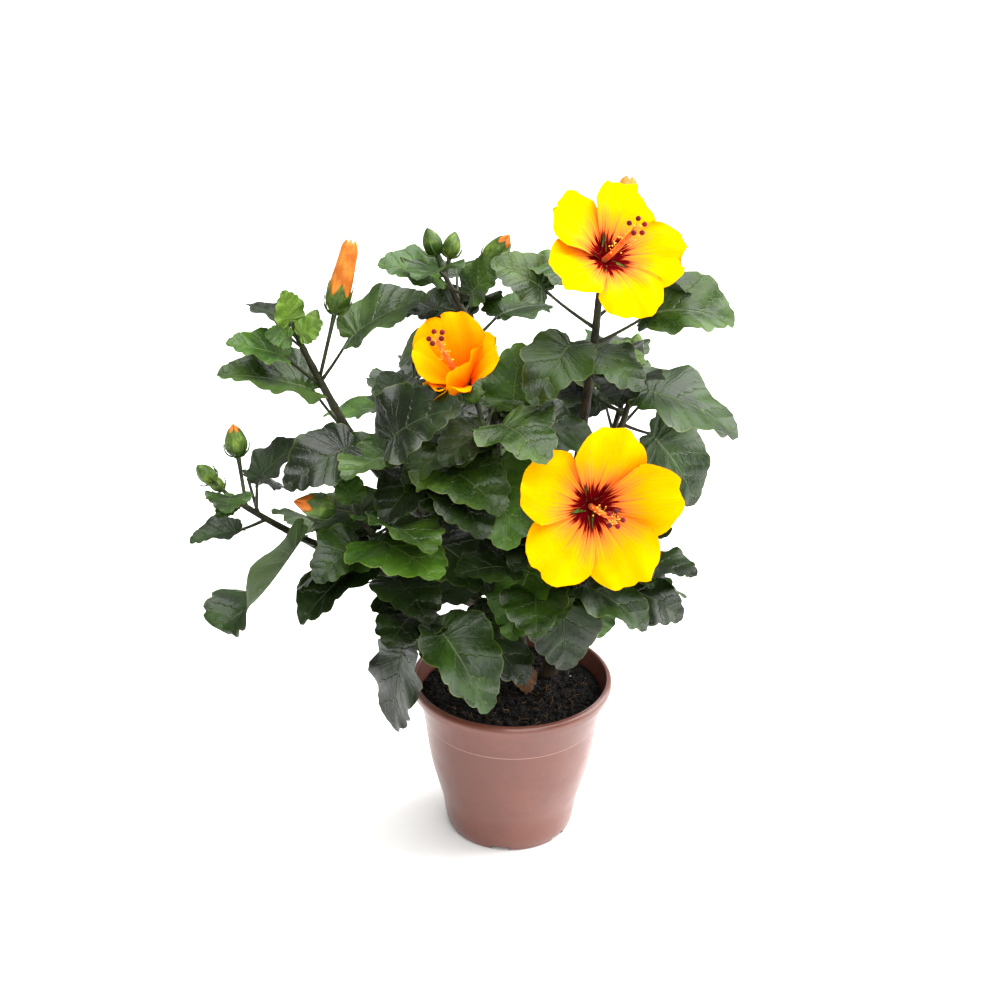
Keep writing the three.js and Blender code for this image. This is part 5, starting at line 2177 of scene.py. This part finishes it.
@dataclass
class Peat:
    """The damp peat, with its crumbs, fibres and a few bits that have fallen on it."""

    level: float = SOIL_LEVEL
    radius: float = 58.3
    low: float = 60.0
    relief: float = 1.8
    ripples: int = 14
    columns: int = 96
    rings: int = 34
    flat_radius: float = 52.0
    crumbs: float = 1500.0
    lumps: float = 450.0
    fibres: float = 380.0
    grit: float = 7.0
    inner: int = 10

    def surface(self) -> np.ndarray:
        """The peat's skin, from its hidden underside, over its edge, to the middle of its top.

        Returns:
            Rings of points.
        """
        chance = Seeded(77)
        ripples = [(chance.between(0.05, 0.35), *(chance.between(0, 6.28) for _ in range(3)))
                   for _ in range(self.ripples)]
        angles = round_angles(self.columns)
        cos, sin = np.cos(angles), np.sin(angles)
        rows = [np.stack([r * cos, r * sin, np.full(self.columns, h)], 1)
                for r, h in ((self.flat_radius, self.low), (self.radius - 2.2, self.level - 9))]
        for radius in np.linspace(self.radius, 1.2, self.rings):
            x, y = radius * cos, radius * sin
            z = sum(np.sin(f * (x * math.cos(a) + y * math.sin(a)) + p) * np.cos(f * 1.7 * y + q)
                    for f, a, p, q in ripples) / 4
            edge = 1 - max(0.0, (radius - self.flat_radius) / 8) ** 2 * 0.6
            rows.append(np.stack([x, y, self.level - 1.2 + self.relief * z * edge - (1 - edge) * 2.0], 1))
        return np.array(rows)

    def build(self) -> None:
        """Makes the peat's pieces."""
        rows = self.surface()
        uvs = np.array([ring_uv(self.columns, i / len(rows)) for i in range(len(rows))])
        stock = MeshStock()
        stock.grid(rows, uvs, 0, ring=True)
        stock.fan(rows[0], np.array([0, 0, self.low]), (0, 0), 0, flip=True)
        stock.fan(rows[-1], rows[-1].mean(0), (0, 1), 0)
        place(stock.build("peat", [PEAT]), "peat", "soil")
        grounds = []
        for name, first in (("peat_top", 3), ("peat_middle", self.inner)):
            stock = MeshStock()
            stock.grid(rows[first:], uvs[first:], 0, ring=True)
            grounds.append(stock.build(name, [PEAT]))
        top, middle = grounds
        for ground, scatter, finish in (
                (top, Scatter("peat_crumbs", self.crumbs, 3, 1.5, 0.25, Bit.GRAIN), CRUMB),
                (top, Scatter("peat_lumps", self.lumps, 8, 3.0, 0.35, Bit.GRAIN), PEAT),
                (middle, Scatter("peat_fibres", self.fibres, 5, 0.3, 0.5, Bit.THREAD, False, 9.0), FIBRE),
                (top, Scatter("peat_grit", self.grit, 11, 0.9, 0.5, Bit.GRAIN), GRIT)):
            place(scatter.over(ground, finish), "peat", "soil")
        for ground in grounds:
            bpy.data.objects.remove(ground)

    def fallen_leaf(self) -> None:
        """Makes the dead leaf that lies on the peat."""
        stock = MeshStock()
        spec = Leaf(0, 305, 0, 0, -50, 21, bend=14, fold=-6, roll=10, tone=Tone.DEAD)
        LeafShape(spec, np.array([8.0, 4.0, self.level + 15.5])).blade(stock, Seeded(9))
        place(stock.build("fallen_leaf", Tone), "leaf", "soil")


# ---------------- the studio


@dataclass(frozen=True)
class LampSpec:
    """A soft square lamp: where it stands and what it points at, in millimetres, its side and its power."""

    name: str
    spot: tuple[float, float, float]
    aim: tuple[float, float, float]
    side: float
    power: float

    def make(self) -> None:
        """Makes the lamp."""
        light = bpy.data.lights.new(self.name, "AREA")
        light.shape, light.size, light.energy = "SQUARE", self.side * MM, self.power
        lamp = bpy.data.objects.new(self.name, light)
        lamp.location = Vector(self.spot) * MM
        lamp.rotation_euler = (Vector(self.aim) - Vector(self.spot)).to_track_quat("-Z", "Y").to_euler()
        bpy.context.scene.collection.objects.link(lamp)


@dataclass
class Studio:
    """The pale floor, the soft lights and the camera."""

    focal: float = 86.4
    sensor: float = 36.0
    down: float = 27.3
    tilt: float = 0.86
    distance: float = 1613.0
    shift_right: float = 6.1
    shift_up: float = -211.7
    floor_side: float = 9000.0
    floor_level: float = -0.2
    floor_ticks: int = 9
    air: float = 0.38
    lamps: Sequence[LampSpec] = (
        LampSpec("lamp_over", (300, 200, 2000), (0, 0, 150), 2800, 132),
        LampSpec("lamp_right", (1500, 500, 900), (0, 0, 150), 1500, 38),
        LampSpec("lamp_front", (500, -1800, 1500), (0, 0, 200), 1600, 25),
    )

    def camera(self) -> None:
        """Makes the camera."""
        down, tilt = math.radians(self.down), math.radians(self.tilt)
        level = np.array([1.0, 0.0, 0.0])
        ahead = np.array([0.0, math.cos(down), -math.sin(down)])
        up = np.array([0.0, math.sin(down), math.cos(down)])
        right = math.cos(tilt) * level + math.sin(tilt) * up
        top = -math.sin(tilt) * level + math.cos(tilt) * up
        spot = -(self.shift_right * right + self.shift_up * top + self.distance * ahead) * MM
        lens = bpy.data.cameras.new("camera")
        lens.lens, lens.sensor_width, lens.clip_end = self.focal, self.sensor, 100
        camera = bpy.data.objects.new("camera", lens)
        camera.matrix_world = Matrix([*np.stack([right, top, -ahead, spot], 1), (0, 0, 0, 1)])
        bpy.context.scene.collection.objects.link(camera)
        bpy.context.scene.camera = camera

    def floor(self) -> None:
        """Makes the floor."""
        count, stock = self.floor_ticks, MeshStock()
        ticks = np.linspace(-self.floor_side / 2, self.floor_side / 2, count)
        points = np.array([[(x, y, self.floor_level) for x in ticks] for y in ticks])
        stock.grid(points, np.zeros((count, count, 2)), 0)
        stock.build("floor", [PaperFinish()])

    def build(self) -> None:
        """Makes the studio."""
        self.camera()
        self.floor()
        world = bpy.data.worlds.new("studio_air")
        world.use_nodes = True
        background = world.node_tree.nodes["Background"].inputs
        background[0].default_value, background[1].default_value = (1, 1, 1, 1), self.air
        bpy.context.scene.world = world
        for lamp in self.lamps:
            lamp.make()
        bpy.context.scene.view_settings.view_transform = "Standard"


def main() -> None:
    """Builds the shrub, its pot and the studio, in order."""
    logging.basicConfig(level=logging.INFO, format="%(name)s %(message)s")
    GROUPS.update(mottle=mottle_group(), leaf_veins=vein_group(), petal_flush=flush_group())
    Studio().build()
    NurseryPot().build()
    peat = Peat()
    peat.build()
    plan = Plan()
    Limbs(plan).build()
    Foliage(plan).build()
    peat.fallen_leaf()
    for name, spec in BLOOMS.items():
        Bloom(name, spec, plan).build()


if __name__ == "__main__":
    main()
